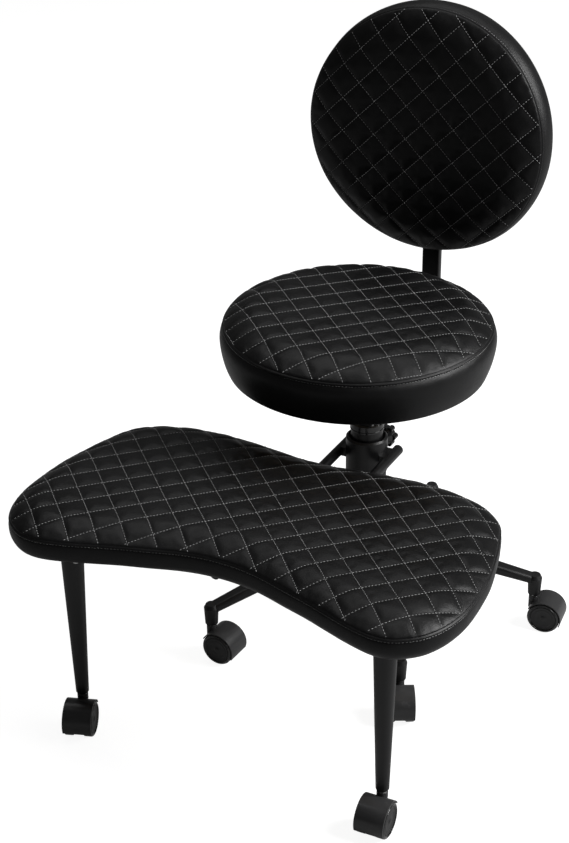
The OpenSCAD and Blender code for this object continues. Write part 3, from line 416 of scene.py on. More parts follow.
def ply_material(name, colour, dust):
    """Birch plywood: long grain on the faces, thin plies on the edges."""
    tree, shader = new_material(name)
    place = object_place(tree)
    along = add_node(tree, "ShaderNodeMapping", scale=(2.2, 26.0, 26.0))
    wire(tree, place, along.inputs["Vector"])
    grain = texture(tree, "Noise", along.outputs[0], scale=3.2, detail=8.0, roughness=0.62,
                    distortion=1.4)
    plies = texture(tree, "Wave", place, scale=105.0, bands_direction="Z", distortion=0.15,
                    detail=1.0)
    edge = math_node(tree, "SUBTRACT", 1.0,
                     math_node(tree, "ABSOLUTE", facing(tree).outputs["Z"]), clamp=True)
    face = two_tone(tree, range_node(tree, grain.outputs["Fac"], 0.3, 0.72), colour, FACE_TONES)
    layers = two_tone(tree, range_node(tree, plies.outputs["Fac"], *PATCH_EDGES), colour,
                      PLIES_TONES)
    dusted(tree, shader, blend_colour(tree, edge, face, layers), dust, PLY_SETTLED, PLY_DUST)
    wire(tree, range_node(tree, grain.outputs["Fac"], 0.3, 0.7, *PLY_ROUGH),
         shader.inputs["Roughness"])
    bump(tree, shader, grain.outputs["Fac"], 0.3, 0.0004)


def thread_material(name, colour):
    """Twisted sewing thread: light and dark turns along each stitch."""
    tree, shader = new_material(name)
    place = object_place(tree)
    turns = texture(tree, "Noise", place, scale=1500.0, detail=2.0)
    worn = texture(tree, "Noise", place, scale=22.0, detail=3.0)
    tone = two_tone(tree, turns.outputs["Fac"], colour, THREAD_TONES)
    tone = blend_colour(tree, range_node(tree, worn.outputs["Fac"], 0.4, 0.7, to_high=0.5), tone,
                        brighter(colour, THREAD_WORN))
    wire(tree, tone, shader.inputs["Base Color"])
    wire(tree, range_node(tree, worn.outputs["Fac"], 0.3, 0.7, *THREAD_ROUGH),
         shader.inputs["Roughness"])
    bump(tree, shader, turns.outputs["Fac"], 0.3, 0.0001)


def materials():
    """The chair's finishes by name, made once."""
    if "Chair leather" not in bpy.data.materials:
        s = bpy.context.scene.chair_finish
        grain, coat, dust = grain_group(), coat_group(), dust_group()
        leather_material("Chair leather", s.leather, grain, dust)
        thread_material("Chair thread", s.thread)
        for name, colour, look in COATED:
            if isinstance(colour, str):
                colour = getattr(s, colour)
            coat_material("Chair " + name, colour, coat, dust, **look)
        ply_material("Chair plywood", s.ply, dust)
    return {m.name.removeprefix("Chair ").replace(" ", "_"): m for m in bpy.data.materials
            if m.name.startswith("Chair ")}


# ---------------------------------------------------------------------------- mesh helpers

def mesh_object(mesh, material):
    """A smooth object at the origin, named like its mesh."""
    for p in mesh.polygons:
        p.use_smooth = True
    mesh.materials.append(material)
    ob = bpy.data.objects.new(mesh.name, mesh)
    bpy.context.scene.collection.objects.link(ob)
    return ob


def to_object(bm, name, material):
    mesh = bpy.data.meshes.new(name)
    bm.to_mesh(mesh)
    bm.free()
    return mesh_object(mesh, material)


def spin_round(bm, parts, steps):
    """Turns a profile all the way round the z axis."""
    bmesh.ops.spin(bm, geom=parts, axis=UP, cent=(0, 0, 0), steps=steps, angle=2 * math.pi,
                   use_merge=True, use_duplicate=False)
    bmesh.ops.remove_doubles(bm, verts=bm.verts[:], dist=SAME_POINT)


def round_ring(radius, thick, steps):
    """A ring round the z axis with a round section."""
    bm = bmesh.new()
    made = bmesh.ops.create_circle(bm, cap_ends=False, radius=thick, segments=10)
    bmesh.ops.rotate(bm, verts=made["verts"], cent=(0, 0, 0),
                     matrix=Matrix.Rotation(math.radians(90), 3, "X"))
    bmesh.ops.translate(bm, verts=made["verts"], vec=(radius, 0, 0))
    spin_round(bm, bm.verts[:] + bm.edges[:], steps)
    return bm


def aimed(centre, axis):
    """Puts what was made round the z axis round an axis through a centre."""
    turn = Vector(axis).to_track_quat("Z", "Y").to_matrix().to_4x4()
    return Matrix.Translation(Vector(centre)) @ turn


def subdivide_once(ob):
    smooth = ob.modifiers.new("Subdivision", "SUBSURF")
    smooth.levels = smooth.render_levels = 1


def bowed(bow, x, y, reach):
    """How far a bowed back comes forward at a place."""
    return bow * (x ** 2 - y ** 2) / reach ** 2


def points_of(mesh):
    co = np.empty(len(mesh.vertices) * 3)
    mesh.vertices.foreach_get("co", co)
    return co.reshape(-1, 3)


def set_points(mesh, co):
    mesh.vertices.foreach_set("co", np.ascontiguousarray(co, dtype=np.float64).ravel())
    mesh.update()


CURVE_STEPS = 12      # between two of the leg rest's shares


class Outline:
    """A closed outline in plan, anticlockwise, resampled to even steps."""

    def __init__(self, points, count=1600):
        pts = np.asarray(points, float)
        step = np.linalg.norm(np.roll(pts, -1, 0) - pts, axis=1)
        arc = np.concatenate([[0], np.cumsum(step)])
        closed = np.vstack([pts, pts[:1]])
        at = np.linspace(0, arc[-1], count, endpoint=False)
        self.points = np.stack([np.interp(at, arc, closed[:, i]) for i in (0, 1)], 1)
        tangent = np.roll(self.points, -3, 0) - np.roll(self.points, 3, 0)
        self.tangent = tangent / np.linalg.norm(tangent, axis=1)[:, None]
        self.out = np.stack([self.tangent[:, 1], -self.tangent[:, 0]], 1)
        self.length = arc[-1]
        self.tree = KDTree(count)
        for i, p in enumerate(self.points):
            self.tree.insert((p[0], p[1], 0), i)
        self.tree.balance()

    def near(self, x, y):
        """Foot on the outline, outward direction, and how far inside (x, y) lies."""
        i = self.tree.find((x, y, 0))[1]
        p, t, n = self.points[i], self.tangent[i], self.out[i]
        q = np.array((x, y)) - p
        foot = p + t * (q @ t)
        return foot, n, -float(q @ n)

    def walk(self, step):
        """Evenly spaced places along the outline: point, tangent, outward direction."""
        count = max(3, round(self.length / step))
        for k in range(count):
            i = int(k * len(self.points) / count)
            yield self.points[i], self.tangent[i], self.out[i]


def round_outline(radius):
    bm = bmesh.new()
    bmesh.ops.create_circle(bm, cap_ends=False, radius=radius, segments=360)
    pts = sorted(((v.co.x, v.co.y) for v in bm.verts), key=lambda p: math.atan2(p[1], p[0]))
    bm.free()
    return Outline(pts)


def kidney_outline(half_width, depth, rear):
    """A smooth closed curve through the leg rest's shares."""
    right = [(x * half_width, -(rear + depth * (1 - y))) for x, y in FRONT_SHARES]
    right += [(x * half_width, -(rear + depth * (1 - y))) for x, y in reversed(REAR_SHARES)]
    pts = right + [(-x, y) for x, y in reversed(right[1:-1])]
    pts = [Vector((*p, 0)) for p in pts]
    out = []
    for i in range(len(pts)):
        p0, p1, p2, p3 = (pts[(i + k) % len(pts)] for k in (-1, 0, 1, 2))
        a, b, c = ((p1 - p0).length ** 0.5, (p2 - p1).length ** 0.5, (p3 - p2).length ** 0.5)
        m1 = b * ((p1 - p0) / a - (p2 - p0) / (a + b) + (p2 - p1) / b)
        m2 = b * ((p2 - p1) / b - (p3 - p1) / (b + c) + (p3 - p2) / c)
        for k in range(CURVE_STEPS):
            t = k / CURVE_STEPS
            h = ((2 * t ** 3 - 3 * t ** 2 + 1) * p1 + (t ** 3 - 2 * t ** 2 + t) * m1
                 + (-2 * t ** 3 + 3 * t ** 2) * p2 + (t ** 3 - t ** 2) * m2)
            out.append((h.x, h.y))
    return Outline(out)


# ---------------------------------------------------------------------------- quilted pads

# How the tops round off, as powers and shares
SEAM_BEND = 1.3
CROWN_ROUND = 1.3
PILLOW_ROUND = 3.6
PILLOW_FADE, FADE_ROUND = 0.016, 0.8      # diamonds go flat this near the seam
UNEVEN, UNEVEN_SCALE = 0.16, 17
UNEVEN_APART = 310                        # keeps the pads' patterns apart, by their bands

# The sheet, in metres, and places across the stitch lines, in pitches
RIM_IN, RIM_UNDER = 0.0012, 0.0001        # the top's rim: in from the seam, and under it
RIM_ZONE, RIM_MERGE = 0.0016, 0.0017
RIM_SKIP = 5                              # every fifth place of the outline gets a corner
LEAST_FREE = 0.004                        # padding nearer the seam than this is held
ON_LINE, NEAR_LINE = 0.02, 0.03
LINE_CREASE = 0.75
MOST_CORNERS = 8                          # a face with more is cut into triangles

# The side's slow waves and the small pulls under its seam: height in metres, then how many
# to a metre along the seam and down from it
WAVES, PULLS = (0.0007, 11, 16), (0.00045, 70, 60)
PULL_AT, PULL_REACH = 0.012, 0.014
UNEVEN_FROM, UNEVEN_TO = 0.001, 0.9       # below the seam in metres, share of the band

# Cloth, and the stitches' clearance from the seam
PRESSURE, FRAMES = 4.0, 20
STITCH_CLEAR, END_CLEAR = 0.0022, 0.0014
ABOVE_PAD = 0.5                           # stitches are dropped on the top from here
TOP_LIFT, ROW_LIFT = 0.22, 0.42           # of the thread's width, over the leather
BLUNT = 0.55                              # power that makes a stitch's ends blunt


@dataclass
class Pad:
    """Sizes and outline of one quilted pad in its own plan: z rises from its underside."""
    name: str
    outline: Outline
    reach: float        # half of its size, which drop and bow go by
    crossing: tuple     # where two stitch lines cross
    band: float         # height of the seam
    drop: float         # how far the seam comes down at the front
    crown: float        # height of the top over the seam
    side: list
    inset: float        # the hollow underside: in from the seam, and up
    recess: float
    bow: float = 0.0
    run: float = 0.044  # from the seam to the crown's full height

    def seam(self, y):
        return self.band - self.drop * max(0.0, -y / self.reach) ** SEAM_BEND

    def lines(self, x, y, pitch):
        """Place across both sets of stitch lines, in pitches."""
        u, v = x - self.crossing[0], y - self.crossing[1]
        return (u + v) / math.sqrt(2) / pitch, (u - v) / math.sqrt(2) / pitch

    def top(self, x, y, inside, pitch, puff):
        """Height of the quilted top, before the padding swells."""
        share = min(1.0, max(0.0, inside) / self.run)
        z = self.seam(y) + self.crown * (1 - (1 - share) ** CROWN_ROUND)
        a, b = (2 * abs(s - round(s)) for s in self.lines(x, y, pitch))
        pillow = (1 - (1 - a) ** PILLOW_ROUND) * (1 - (1 - b) ** PILLOW_ROUND)
        fade = min(1.0, max(0.0, inside) / PILLOW_FADE) ** FADE_ROUND
        spot = Vector((x * UNEVEN_SCALE, y * UNEVEN_SCALE, self.band * UNEVEN_APART))
        return z + puff * pillow * fade * (1 + UNEVEN * noise.noise(spot))

    def bent(self, co):
        """Brings the sides forward and lets top and bottom fall back, for a bowed back."""
        co[:, 2] += bowed(self.bow, co[:, 0], co[:, 1], self.reach)
        return co


def cut_sheet(bm, pad, pitch, cuts):
    """Fills the outline and cuts it along both diagonals, so edges lie on the stitch lines."""
    rim = [bm.verts.new((p[0], p[1], 0)) for p in pad.outline.points[::RIM_SKIP]]
    bmesh.ops.contextual_create(bm, geom=rim)
    centre = Vector((*pad.crossing, 0))
    for turn in (1, -1):
        across = Vector((1, turn, 0)).normalized()
        reach = [(Vector((*p, 0)) - centre).dot(across) for p in pad.outline.points]
        step = pitch / cuts
        for i in range(math.ceil(min(reach) / step), math.floor(max(reach) / step) + 1):
            bmesh.ops.bisect_plane(bm, geom=bm.verts[:] + bm.edges[:] + bm.faces[:],
                                   dist=SAME_POINT, plane_co=centre + across * i * step,
                                   plane_no=across)
    spare = [v for v in bm.verts if v.is_boundary and len(v.link_edges) == 2]
    bmesh.ops.dissolve_verts(bm, verts=spare)
    close = [v for v in bm.verts if v.is_boundary
             or pad.outline.near(v.co.x, v.co.y)[2] < RIM_ZONE]
    bmesh.ops.remove_doubles(bm, verts=close, dist=RIM_MERGE)


def split_wide(bm):
    """Cuts faces with many corners into triangles, which subdivide quickly."""
    bmesh.ops.triangulate(bm, faces=[f for f in bm.faces if len(f.verts) > MOST_CORNERS])


def uneven(place, below, height, along, down):
    """How far an uneven side stands out at a place under the seam."""
    return height * noise.noise(Vector((place[0] * along, place[1] * along, below * down)))


def pad_mesh(pad, settings):
    """The pad's closed mesh: quilted top, seam, topstitched band and hollow underside."""
    pitch = settings.step * math.sqrt(2)
    bm = bmesh.new()
    root = bm.verts.layers.float_vector.new("root")
    away = bm.verts.layers.float_vector.new("away")
    free = bm.verts.layers.float.new("free")
    crease = bm.edges.layers.float.new("crease_edge")
    cut_sheet(bm, pad, pitch, settings.cuts)
    sewn = set()
    for v in bm.verts:
        foot, n, inside = pad.outline.near(v.co.x, v.co.y)
        if v.is_boundary:
            v[root] = (foot[0], foot[1], pad.seam(foot[1]))
            v[away] = (n[0], n[1], 0)
            v.co = (foot[0] - n[0] * RIM_IN, foot[1] - n[1] * RIM_IN,
                    pad.seam(foot[1]) - RIM_UNDER)
            sewn.add(v)
            continue
        a, b = pad.lines(v.co.x, v.co.y, pitch)
        on_line = min(abs(a - round(a)), abs(b - round(b))) < ON_LINE
        v.co.z = pad.top(v.co.x, v.co.y, inside, pitch, settings.puff)
        if on_line:
            sewn.add(v)
        v[free] = 0.0 if on_line or inside < LEAST_FREE else 1.0
    for e in bm.edges:
        if e.is_boundary:
            continue
        a, b = e.verts
        if a in sewn and b in sewn:
            pa, pb = (pad.lines(v.co.x, v.co.y, pitch) for v in (a, b))
            if any(max(abs(pa[i] - round(pa[i])), abs(pb[i] - round(pb[i]))) < NEAR_LINE
                   for i in (0, 1)):
                e[crease] = LINE_CREASE
    ring = [e for e in bm.edges if e.is_boundary]
    rows = pad.side + [(-pad.inset, pad.band), (-pad.inset, pad.band - pad.recess)]
    for offset, below in rows:
        made = bmesh.ops.extrude_edge_only(bm, edges=ring)["geom"]
        for v in (g for g in made if isinstance(g, bmesh.types.BMVert)):
            p, n = v[root], v[away]
            w = offset
            if UNEVEN_FROM < below < pad.band * UNEVEN_TO and offset > -pad.inset:
                near_seam = max(0.0, 1 - abs(below - PULL_AT) / PULL_REACH)
                w += uneven(p, below, *WAVES) + uneven(p, below, *PULLS) * near_seam
            v.co = (p[0] + n[0] * w, p[1] + n[1] * w, p[2] * (1 - below / pad.band))
        ring = [g for g in made if isinstance(g, bmesh.types.BMEdge) and g.is_boundary]
    bmesh.ops.edgeloop_fill(bm, edges=ring)
    split_wide(bm)
    bmesh.ops.recalc_face_normals(bm, faces=bm.faces[:])
    return bm


def swell(ob, held, cap):
    """Lets Cloth blow the padding up between the stitches, and keeps each move under cap."""
    scene = bpy.context.scene
    before = points_of(ob.data)
    group = ob.vertex_groups.new(name="sewn down")
    group.add([int(i) for i in held], 1.0, "REPLACE")
    cloth = ob.modifiers.new("Padding", "CLOTH")
    s = cloth.settings
    s.quality, s.mass, s.air_damping = 4, 0.25, 4.0
    s.tension_stiffness = s.compression_stiffness = 14.0
    s.shear_stiffness, s.bending_stiffness = 6.0, 0.35
    s.vertex_group_mass = group.name
    s.use_pressure, s.uniform_pressure_force = True, PRESSURE
    s.shrink_min = -0.012
    s.effector_weights.gravity = 0
    cloth.collision_settings.use_collision = False
    cloth.point_cache.frame_start, cloth.point_cache.frame_end = 1, FRAMES
    for f in range(1, FRAMES + 1):
        scene.frame_set(f)
    after = points_of(ob.evaluated_get(bpy.context.evaluated_depsgraph_get()).data)
    ob.modifiers.remove(cloth)
    scene.frame_set(1)
    move = after - before
    far = np.linalg.norm(move, axis=1)
    move *= np.minimum(1.0, cap / np.maximum(far, SAME_POINT))[:, None]
    set_points(ob.data, before + move)
    ob.vertex_groups.clear()


def thread_size(settings):
    half = settings.thread / 2
    return Matrix.Diagonal((settings.stitch / 2, half, half, 1))


def place_stitches(pad, ob, settings):
    """Matrices of the stitches: along the quilt lines, then round the topstitched row."""
    pitch = settings.step * math.sqrt(2)
    dg = bpy.context.evaluated_depsgraph_get()
    tree = BVHTree.FromObject(ob, dg)
    spacing = settings.stitch + settings.gap
    half = settings.stitch / 2
    spots = []

    def drop_on(x, y):
        hit = tree.ray_cast(Vector((x, y, ABOVE_PAD)), -UP)
        return hit[0], hit[1]

    def lay(centre, along, up, lift):
        side = up.cross(along).normalized()
        up = along.cross(side).normalized()
        turn = Matrix((along, side, up)).transposed().to_4x4()
        spots.append(Matrix.Translation(centre + up * lift) @ turn @ thread_size(settings))

    reach = float(np.abs(pad.outline.points - np.array(pad.crossing)).max() * math.sqrt(2))
    for turn in (1, -1):
        along = Vector((1, -turn, 0)).normalized()
        across = Vector((1, turn, 0)).normalized()
        for i in range(-math.ceil(reach / pitch), math.ceil(reach / pitch) + 1):
            for k in range(-math.ceil(reach / spacing), math.ceil(reach / spacing) + 1):
                p = (Vector((*pad.crossing, 0)) + across * i * pitch
                     + along * (k + 0.5) * spacing)
                if pad.outline.near(p.x, p.y)[2] < STITCH_CLEAR:
                    continue
                mid, up = drop_on(p.x, p.y)
                ends = [p - along * half, p + along * half]
                a, b = (drop_on(*e.xy)[0] if pad.outline.near(e.x, e.y)[2] > END_CLEAR
                        else None for e in ends)
                if mid is None or (a is None and b is None):
                    continue
                a = a or mid * 2 - b
                b = b or mid * 2 - a
                lay((a + b) / 2, (b - a).normalized(), up, settings.thread * TOP_LIFT)
    offset, below = TOPSTITCH
    for p, t, n in pad.outline.walk(spacing):
        z = pad.seam(p[1]) * (1 - below / pad.band)
        at = np.array([[p[0] + n[0] * offset, p[1] + n[1] * offset, z]])
        at = pad.bent(at)[0]
        lay(Vector(at), Vector((t[0], t[1], 0)), Vector((n[0], n[1], 0)),
            settings.thread * ROW_LIFT)
    return spots


def stitch_object(name, spots, material):
    """All of a pad's stitches as one mesh of small rounded threads."""
    bm = bmesh.new()
    bmesh.ops.create_icosphere(bm, subdivisions=1, radius=1.0)
    base = np.array([(*v.co, 1.0) for v in bm.verts])
    bm.verts.index_update()
    faces = np.array([[v.index for v in f.verts] for f in bm.faces])
    bm.free()
    base[:, 0] = np.sign(base[:, 0]) * np.abs(base[:, 0]) ** BLUNT
    co = np.concatenate([base @ np.array(m.transposed()) for m in spots])[:, :3]
    loops = np.concatenate([faces + len(base) * i for i in range(len(spots))])
    mesh = bpy.data.meshes.new(name)
    mesh.from_pydata(co.tolist(), [], loops.tolist())
    return mesh_object(mesh, material)


def make_pad(pad, place, nodes):
    """Makes a quilted pad with its stitches, on the body that carries its nodes."""
    settings, finish = bpy.context.scene.chair_quilt, materials()
    ob = to_object(pad_mesh(pad, settings), pad.name, finish["leather"])
    mesh = ob.data
    free = np.empty(len(mesh.vertices))
    mesh.attributes["free"].data.foreach_get("value", free)
    set_points(mesh, pad.bent(points_of(mesh)))
    if settings.swell > 0:
        swell(ob, np.flatnonzero(free < 0.5), settings.swell)
    for label in ("free", "root", "away"):
        mesh.attributes.remove(mesh.attributes[label])
    subdivide_once(ob)
    bpy.context.view_layer.update()
    sewn = stitch_object(pad.name + "_stitches", place_stitches(pad, ob, settings),
                         finish["thread"])
    for piece in (ob, sewn):
        piece.data.transform(place)
        piece.data.update()
    body = frame["nodes"][nodes[0]]["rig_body"]
    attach(ob, body)
    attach(sewn, body)
    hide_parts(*nodes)


# ---------------------------------------------------------------------------- operators

class CHAIR_OT_seat_pad(Operator):
    """Makes the round quilted seat"""
    bl_idname = "chair.seat_pad"
    bl_label = "Seat pad"

    def execute(self, context):
        s = context.scene.chair_pads
        pad = Pad("seat_pad", round_outline(s.seat_radius), reach=s.seat_radius,
                  crossing=(0.0, -0.018), band=s.seat_band, drop=s.seat_drop,
                  crown=s.seat_crown, side=SEAT_SIDE, inset=0.027, recess=0.01105)
        make_pad(pad, Matrix.Translation(SEAT_CENTRE), ["seat_cushion"])
        return {"FINISHED"}


class CHAIR_OT_back_pad(Operator):
    """Makes the round quilted back"""
    bl_idname = "chair.back_pad"
    bl_label = "Back pad"

    def execute(self, context):
        s = context.scene.chair_pads
        pad = Pad("back_pad", round_outline(s.back_radius), reach=s.back_radius,
                  crossing=(0.0, 0.018), band=s.back_depth, drop=0.0, crown=s.back_crown,
                  side=BACK_SIDE, inset=0.024, recess=0.02535, bow=s.back_bow)
        make_pad(pad, BACK_PLACE, ["back_cushion"])
        return {"FINISHED"}


class CHAIR_OT_rest_pad(Operator):
    """Makes the kidney-shaped quilted leg rest"""
    bl_idname = "chair.rest_pad"
    bl_label = "Leg rest pad"

    def execute(self, context):
        s = context.scene.chair_pads
        outline = kidney_outline(s.rest_half_width, s.rest_depth, s.rest_rear)
        pad = Pad("rest_pad", outline, reach=s.rest_half_width,
                  crossing=(0.0, -s.rest_rear - 0.15), band=s.rest_band, drop=0.0,
                  crown=s.rest_crown, side=REST_SIDE, inset=0.034, recess=0.00505)
        make_pad(pad, Matrix.Translation(REST_CENTRE), ["rest_cushion"])
        return {"FINISHED"}


# The cover behind the back. Its rows from the rim inwards: share of its radius, and place
# from the pad's rear plane, where less than nothing is behind it.
COVER_MARGIN = 0.0105
COVER_TUCK = 0.0001                       # its first rim, inside the pad
COVER_SIDES = 144
COVER_ROWS = [(1.0, -0.0016), (0.993, -0.0030), (0.975, -0.0038), (0.955, -0.0036),
              (0.947, -0.0030), (0.938, -0.0037), (0.9, -0.0046), (0.8, -0.0056),
              (0.6, -0.0066), (0.35, -0.0073), (0.12, -0.0076), (0.03, -0.00764),
              (0.006, -0.00765)]
COVER_STITCH = (0.947, -0.0031)           # its stitched row


class CHAIR_OT_back_cover(Operator):
    """Makes the leather panel that closes the back, with its stitched edge"""
    bl_idname = "chair.back_cover"
    bl_label = "Back cover"

    def execute(self, context):
        s, q = context.scene.chair_pads, context.scene.chair_quilt
        finish = materials()
        rim = s.back_radius - COVER_MARGIN
        bm = bmesh.new()
        bmesh.ops.create_circle(bm, cap_ends=True, radius=rim, segments=COVER_SIDES)
        bmesh.ops.translate(bm, verts=bm.verts[:], vec=(0, 0, COVER_TUCK))
        face = bm.faces[:]
        last = 1.0
        for k, (share, z) in enumerate(COVER_ROWS):
            made = bmesh.ops.extrude_face_region(bm, geom=face)["geom"]
            if k:
                bmesh.ops.delete(bm, geom=face, context="FACES_ONLY")
            face = [g for g in made if isinstance(g, bmesh.types.BMFace)]
            for v in (g for g in made if isinstance(g, bmesh.types.BMVert)):
                v.co = Vector((v.co.x * share / last, v.co.y * share / last, z))
            last = share
        split_wide(bm)
        bmesh.ops.recalc_face_normals(bm, faces=bm.faces[:])
        ob = to_object(bm, "back_cover", finish["leather"])
        co = points_of(ob.data)
        co[:, 2] += bowed(s.back_bow, co[:, 0], co[:, 1], s.back_radius)
        set_points(ob.data, co)
        subdivide_once(ob)
        spots = []
        share, height = COVER_STITCH
        count = round(2 * math.pi * rim * share / (q.stitch + q.gap))
        for k in range(count):
            a = 2 * math.pi * k / count
            x, y = math.cos(a) * rim * share, math.sin(a) * rim * share
            z = height + bowed(s.back_bow, x, y, s.back_radius)
            turn = Matrix.Rotation(a + math.pi / 2, 4, "Z")
            spots.append(Matrix.Translation((x, y, z)) @ turn @ thread_size(q))
        sewn = stitch_object("back_cover_stitches", spots, finish["thread"])
        for piece in (ob, sewn):
            piece.data.transform(BACK_PLACE)
            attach(piece, "seat")
        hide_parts("back_panel")
        return {"FINISHED"}


# Which solids have which finish; hood, axle and wheel stand for all of their kind
FINISHED_NODES = {
    "powder_coat": "star_base column_tube support_ring seat_mechanism back_bar back_plate "
                   "swivel_collar rest_tubes rest_plates leg_flanges",
    "leg_coat": "leg_left leg_right",
    "gloss_coat": "pressure_tube",
    "bush_plastic": "column_bush lever_grip collar_liner clamp_knob",
    "hood_plastic": "tube_caps hood",
    "tread": "wheel",
    "zinc": "caster_stems lever_rod seat_screws rest_screws leg_stems clamp_stud axle",
    "chrome": "gas_rod",
    "plywood": "seat_board back_board rest_board",
    "leather": "seat_cushion back_cushion back_panel rest_cushion",
}


class CHAIR_OT_frame_finish(Operator):
    """Gives every solid of the frame its finish"""
    bl_idname = "chair.frame_finish"
    bl_label = "Frame finish"

    def execute(self, context):
        finish = {name: materials()[key] for key, names in FINISHED_NODES.items()
                  for name in names.split()}
        for name, ob in frame["nodes"].items():
            kind = name if name in finish else name.split("_")[0]
            if not ob.material_slots:
                ob.data.materials.append(finish[kind])
            for slot in ob.material_slots:
                slot.material = finish[kind]
        return {"FINISHED"}


def wheel_frame(name):
    """Centre and outward axle direction of a wheel, from its solid and its twin's."""
    twin = name[:-1] + ("b" if name.endswith("a") else "a")
    mine, other = (points_of(frame["nodes"][n].data) for n in (name, twin))
    centre = (mine.max(0) + mine.min(0)) / 2
    spread = np.cov((mine - mine.mean(0)).T)
    axis = np.linalg.eigh(spread)[1][:, 0]
    axis[2] = 0
    axis /= np.linalg.norm(axis)
    if axis @ (centre - (other.max(0) + other.min(0)) / 2) < 0:
        axis = -axis
    centre[2] = (mine[:, 2].max() + mine[:, 2].min()) / 2
    along = (mine - centre) @ axis
    mid = centre + axis * (along.max() + along.min()) / 2
    return Vector(mid), Vector(axis), float((along.max() - along.min()) / 2)


# The disc in a wheel's face: radius and height over its own base, from boss to rim
CAP_PROFILE = [(0.0, 0.0016), (0.0022, 0.0016), (0.0034, 0.0013), (0.0044, 0.0007),
               (0.0056, 0.0004), (0.0132, 0.0003), (0.0140, 0.0006), (0.0150, 0.0006),
               (0.0157, 0.0003), (0.0180, 0.0003), (0.0188, 0.0008), (0.0198, 0.0008),
               (0.0206, 0.0002), (0.0206, -0.0001)]
CAP_STEPS, CAP_SUNK = 40, 0.0012          # sunk so far into the wheel's face
LIP_RADIUS, LIP_THICK, LIP_STEPS, LIP_SUNK = 0.0226, 0.0009, 56, 0.0002


class CHAIR_OT_wheel_caps(Operator):
    """Makes the ringed discs in the faces of the wheels, and the gloss lips round them"""
    bl_idname = "chair.wheel_caps"
    bl_label = "Wheel caps"

    def execute(self, context):
        finish = materials()
        for name in sorted(n for n in frame["nodes"] if n.startswith("wheel_")):
            mid, axis, half = wheel_frame(name)
            cap = bmesh.new()
            verts = [cap.verts.new((r, 0, z)) for r, z in CAP_PROFILE]
            edges = [cap.edges.new(pair) for pair in zip(verts, verts[1:])]
            spin_round(cap, verts + edges, CAP_STEPS)
            bmesh.ops.edgeloop_fill(cap, edges=[e for e in cap.edges if e.is_boundary])
            lip = round_ring(LIP_RADIUS, LIP_THICK, LIP_STEPS)
            for bm, kind, look, sunk in ((cap, "wheel_cap_", "wheel_face", CAP_SUNK),
                                         (lip, "wheel_lip_", "tread", LIP_SUNK)):
                bmesh.ops.recalc_face_normals(bm, faces=bm.faces[:])
                ob = to_object(bm, name.replace("wheel_", kind), finish[look])
                ob.data.transform(aimed(mid + axis * (half - sunk), axis))
                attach(ob, frame["nodes"][name]["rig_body"])
        return {"FINISHED"}


RIPPLE_STEPS = 5                          # steps of mesh along one ripple of a weld
RIPPLE_LOW, RIPPLE_RISE, RIPPLE_UNEVEN = 0.82, 0.25, 0.12
LEG_BEAD, HUB_BEAD = (0.0019, 34), (0.002, 44)    # thickness and ripples
BEAD_OFFSET, LEG_BEAD_DOWN = 0.0002, 0.0006       # off the tube's side, and below its top


def bead(name, centre, radius, size, body):
    """A weld bead round an upright tube: a ring of overlapping ripples."""
    thick, ripples = size
    bm = round_ring(radius, thick, ripples * RIPPLE_STEPS)
    for v in bm.verts:
        a = math.atan2(v.co.y, v.co.x)
        flat = Vector((v.co.x, v.co.y, 0)).normalized() * radius
        grow = RIPPLE_LOW + RIPPLE_RISE * ((a / (2 * math.pi) * ripples) % 1.0)
        spot = Vector((math.cos(a) * 3, math.sin(a) * 3, 0))
        grow *= 1 + RIPPLE_UNEVEN * noise.noise(spot)
        v.co = flat + (v.co - flat) * grow
    bmesh.ops.recalc_face_normals(bm, faces=bm.faces[:])
    ob = to_object(bm, name, materials()["weld"])
    ob.data.transform(aimed(centre, UP))
    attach(ob, body)


class CHAIR_OT_welds(Operator):
    """Makes the weld beads at the tops of the legs and on the hub"""
    bl_idname = "chair.welds"
    bl_label = "Weld beads"

    def execute(self, context):
        for side in ("left", "right"):
            lo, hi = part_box("leg_" + side)
            mid = (lo + hi) / 2
            bead("weld_leg_" + side, (mid.x, mid.y, hi.z - LEG_BEAD_DOWN),
                 (hi.x - lo.x) / 2 - BEAD_OFFSET, LEG_BEAD, "leg_rest")
        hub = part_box("star_base")[1].z
        lo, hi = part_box("column_tube")
        bead("weld_hub", (0, 0, hub + BEAD_OFFSET), (hi.x - lo.x) / 2 + BEAD_OFFSET, HUB_BEAD,
             "base")
        return {"FINISHED"}


FLOOR_HALF, FLOOR_DROP = 40, 0.0004
FLOOR_GLOW = 0.92                            # keeps the floor white round the chair
FLOOR_MIRRORED, ROOM_MIRRORED = 0.1, 0.06    # how much of the white is seen mirrored

# The lights, which take their power from the settings: name, place and size, and their aim
LIT_FROM = [("key", (2.5, 0.6, 2.25), 1.8), ("top", (-0.4, 0.4, 3.1), 2.4)]
LIT_AT = Vector((0, -0.1, 0.5))

# The photograph's camera: place, then degrees round the chair, down at it and rolled
CAMERA_AT = (1.0083, -2.1955, 1.6450)
CAMERA_TURN, CAMERA_DOWN, CAMERA_ROLL = 27.69, 28.27, -0.55
CAMERA_LENS, CAMERA_SENSOR = 75.884, 36.0


def seen_share(tree, mirrored):
    """1 for what the camera sees, and a share for what it sees mirrored or through something."""
    path = tree.nodes.new("ShaderNodeLightPath")
    either = math_node(tree, "MAXIMUM", path.outputs["Is Glossy Ray"],
                       path.outputs["Is Transmission Ray"])
    return math_node(tree, "MAXIMUM", path.outputs["Is Camera Ray"],
                     math_node(tree, "MULTIPLY", either, mirrored))


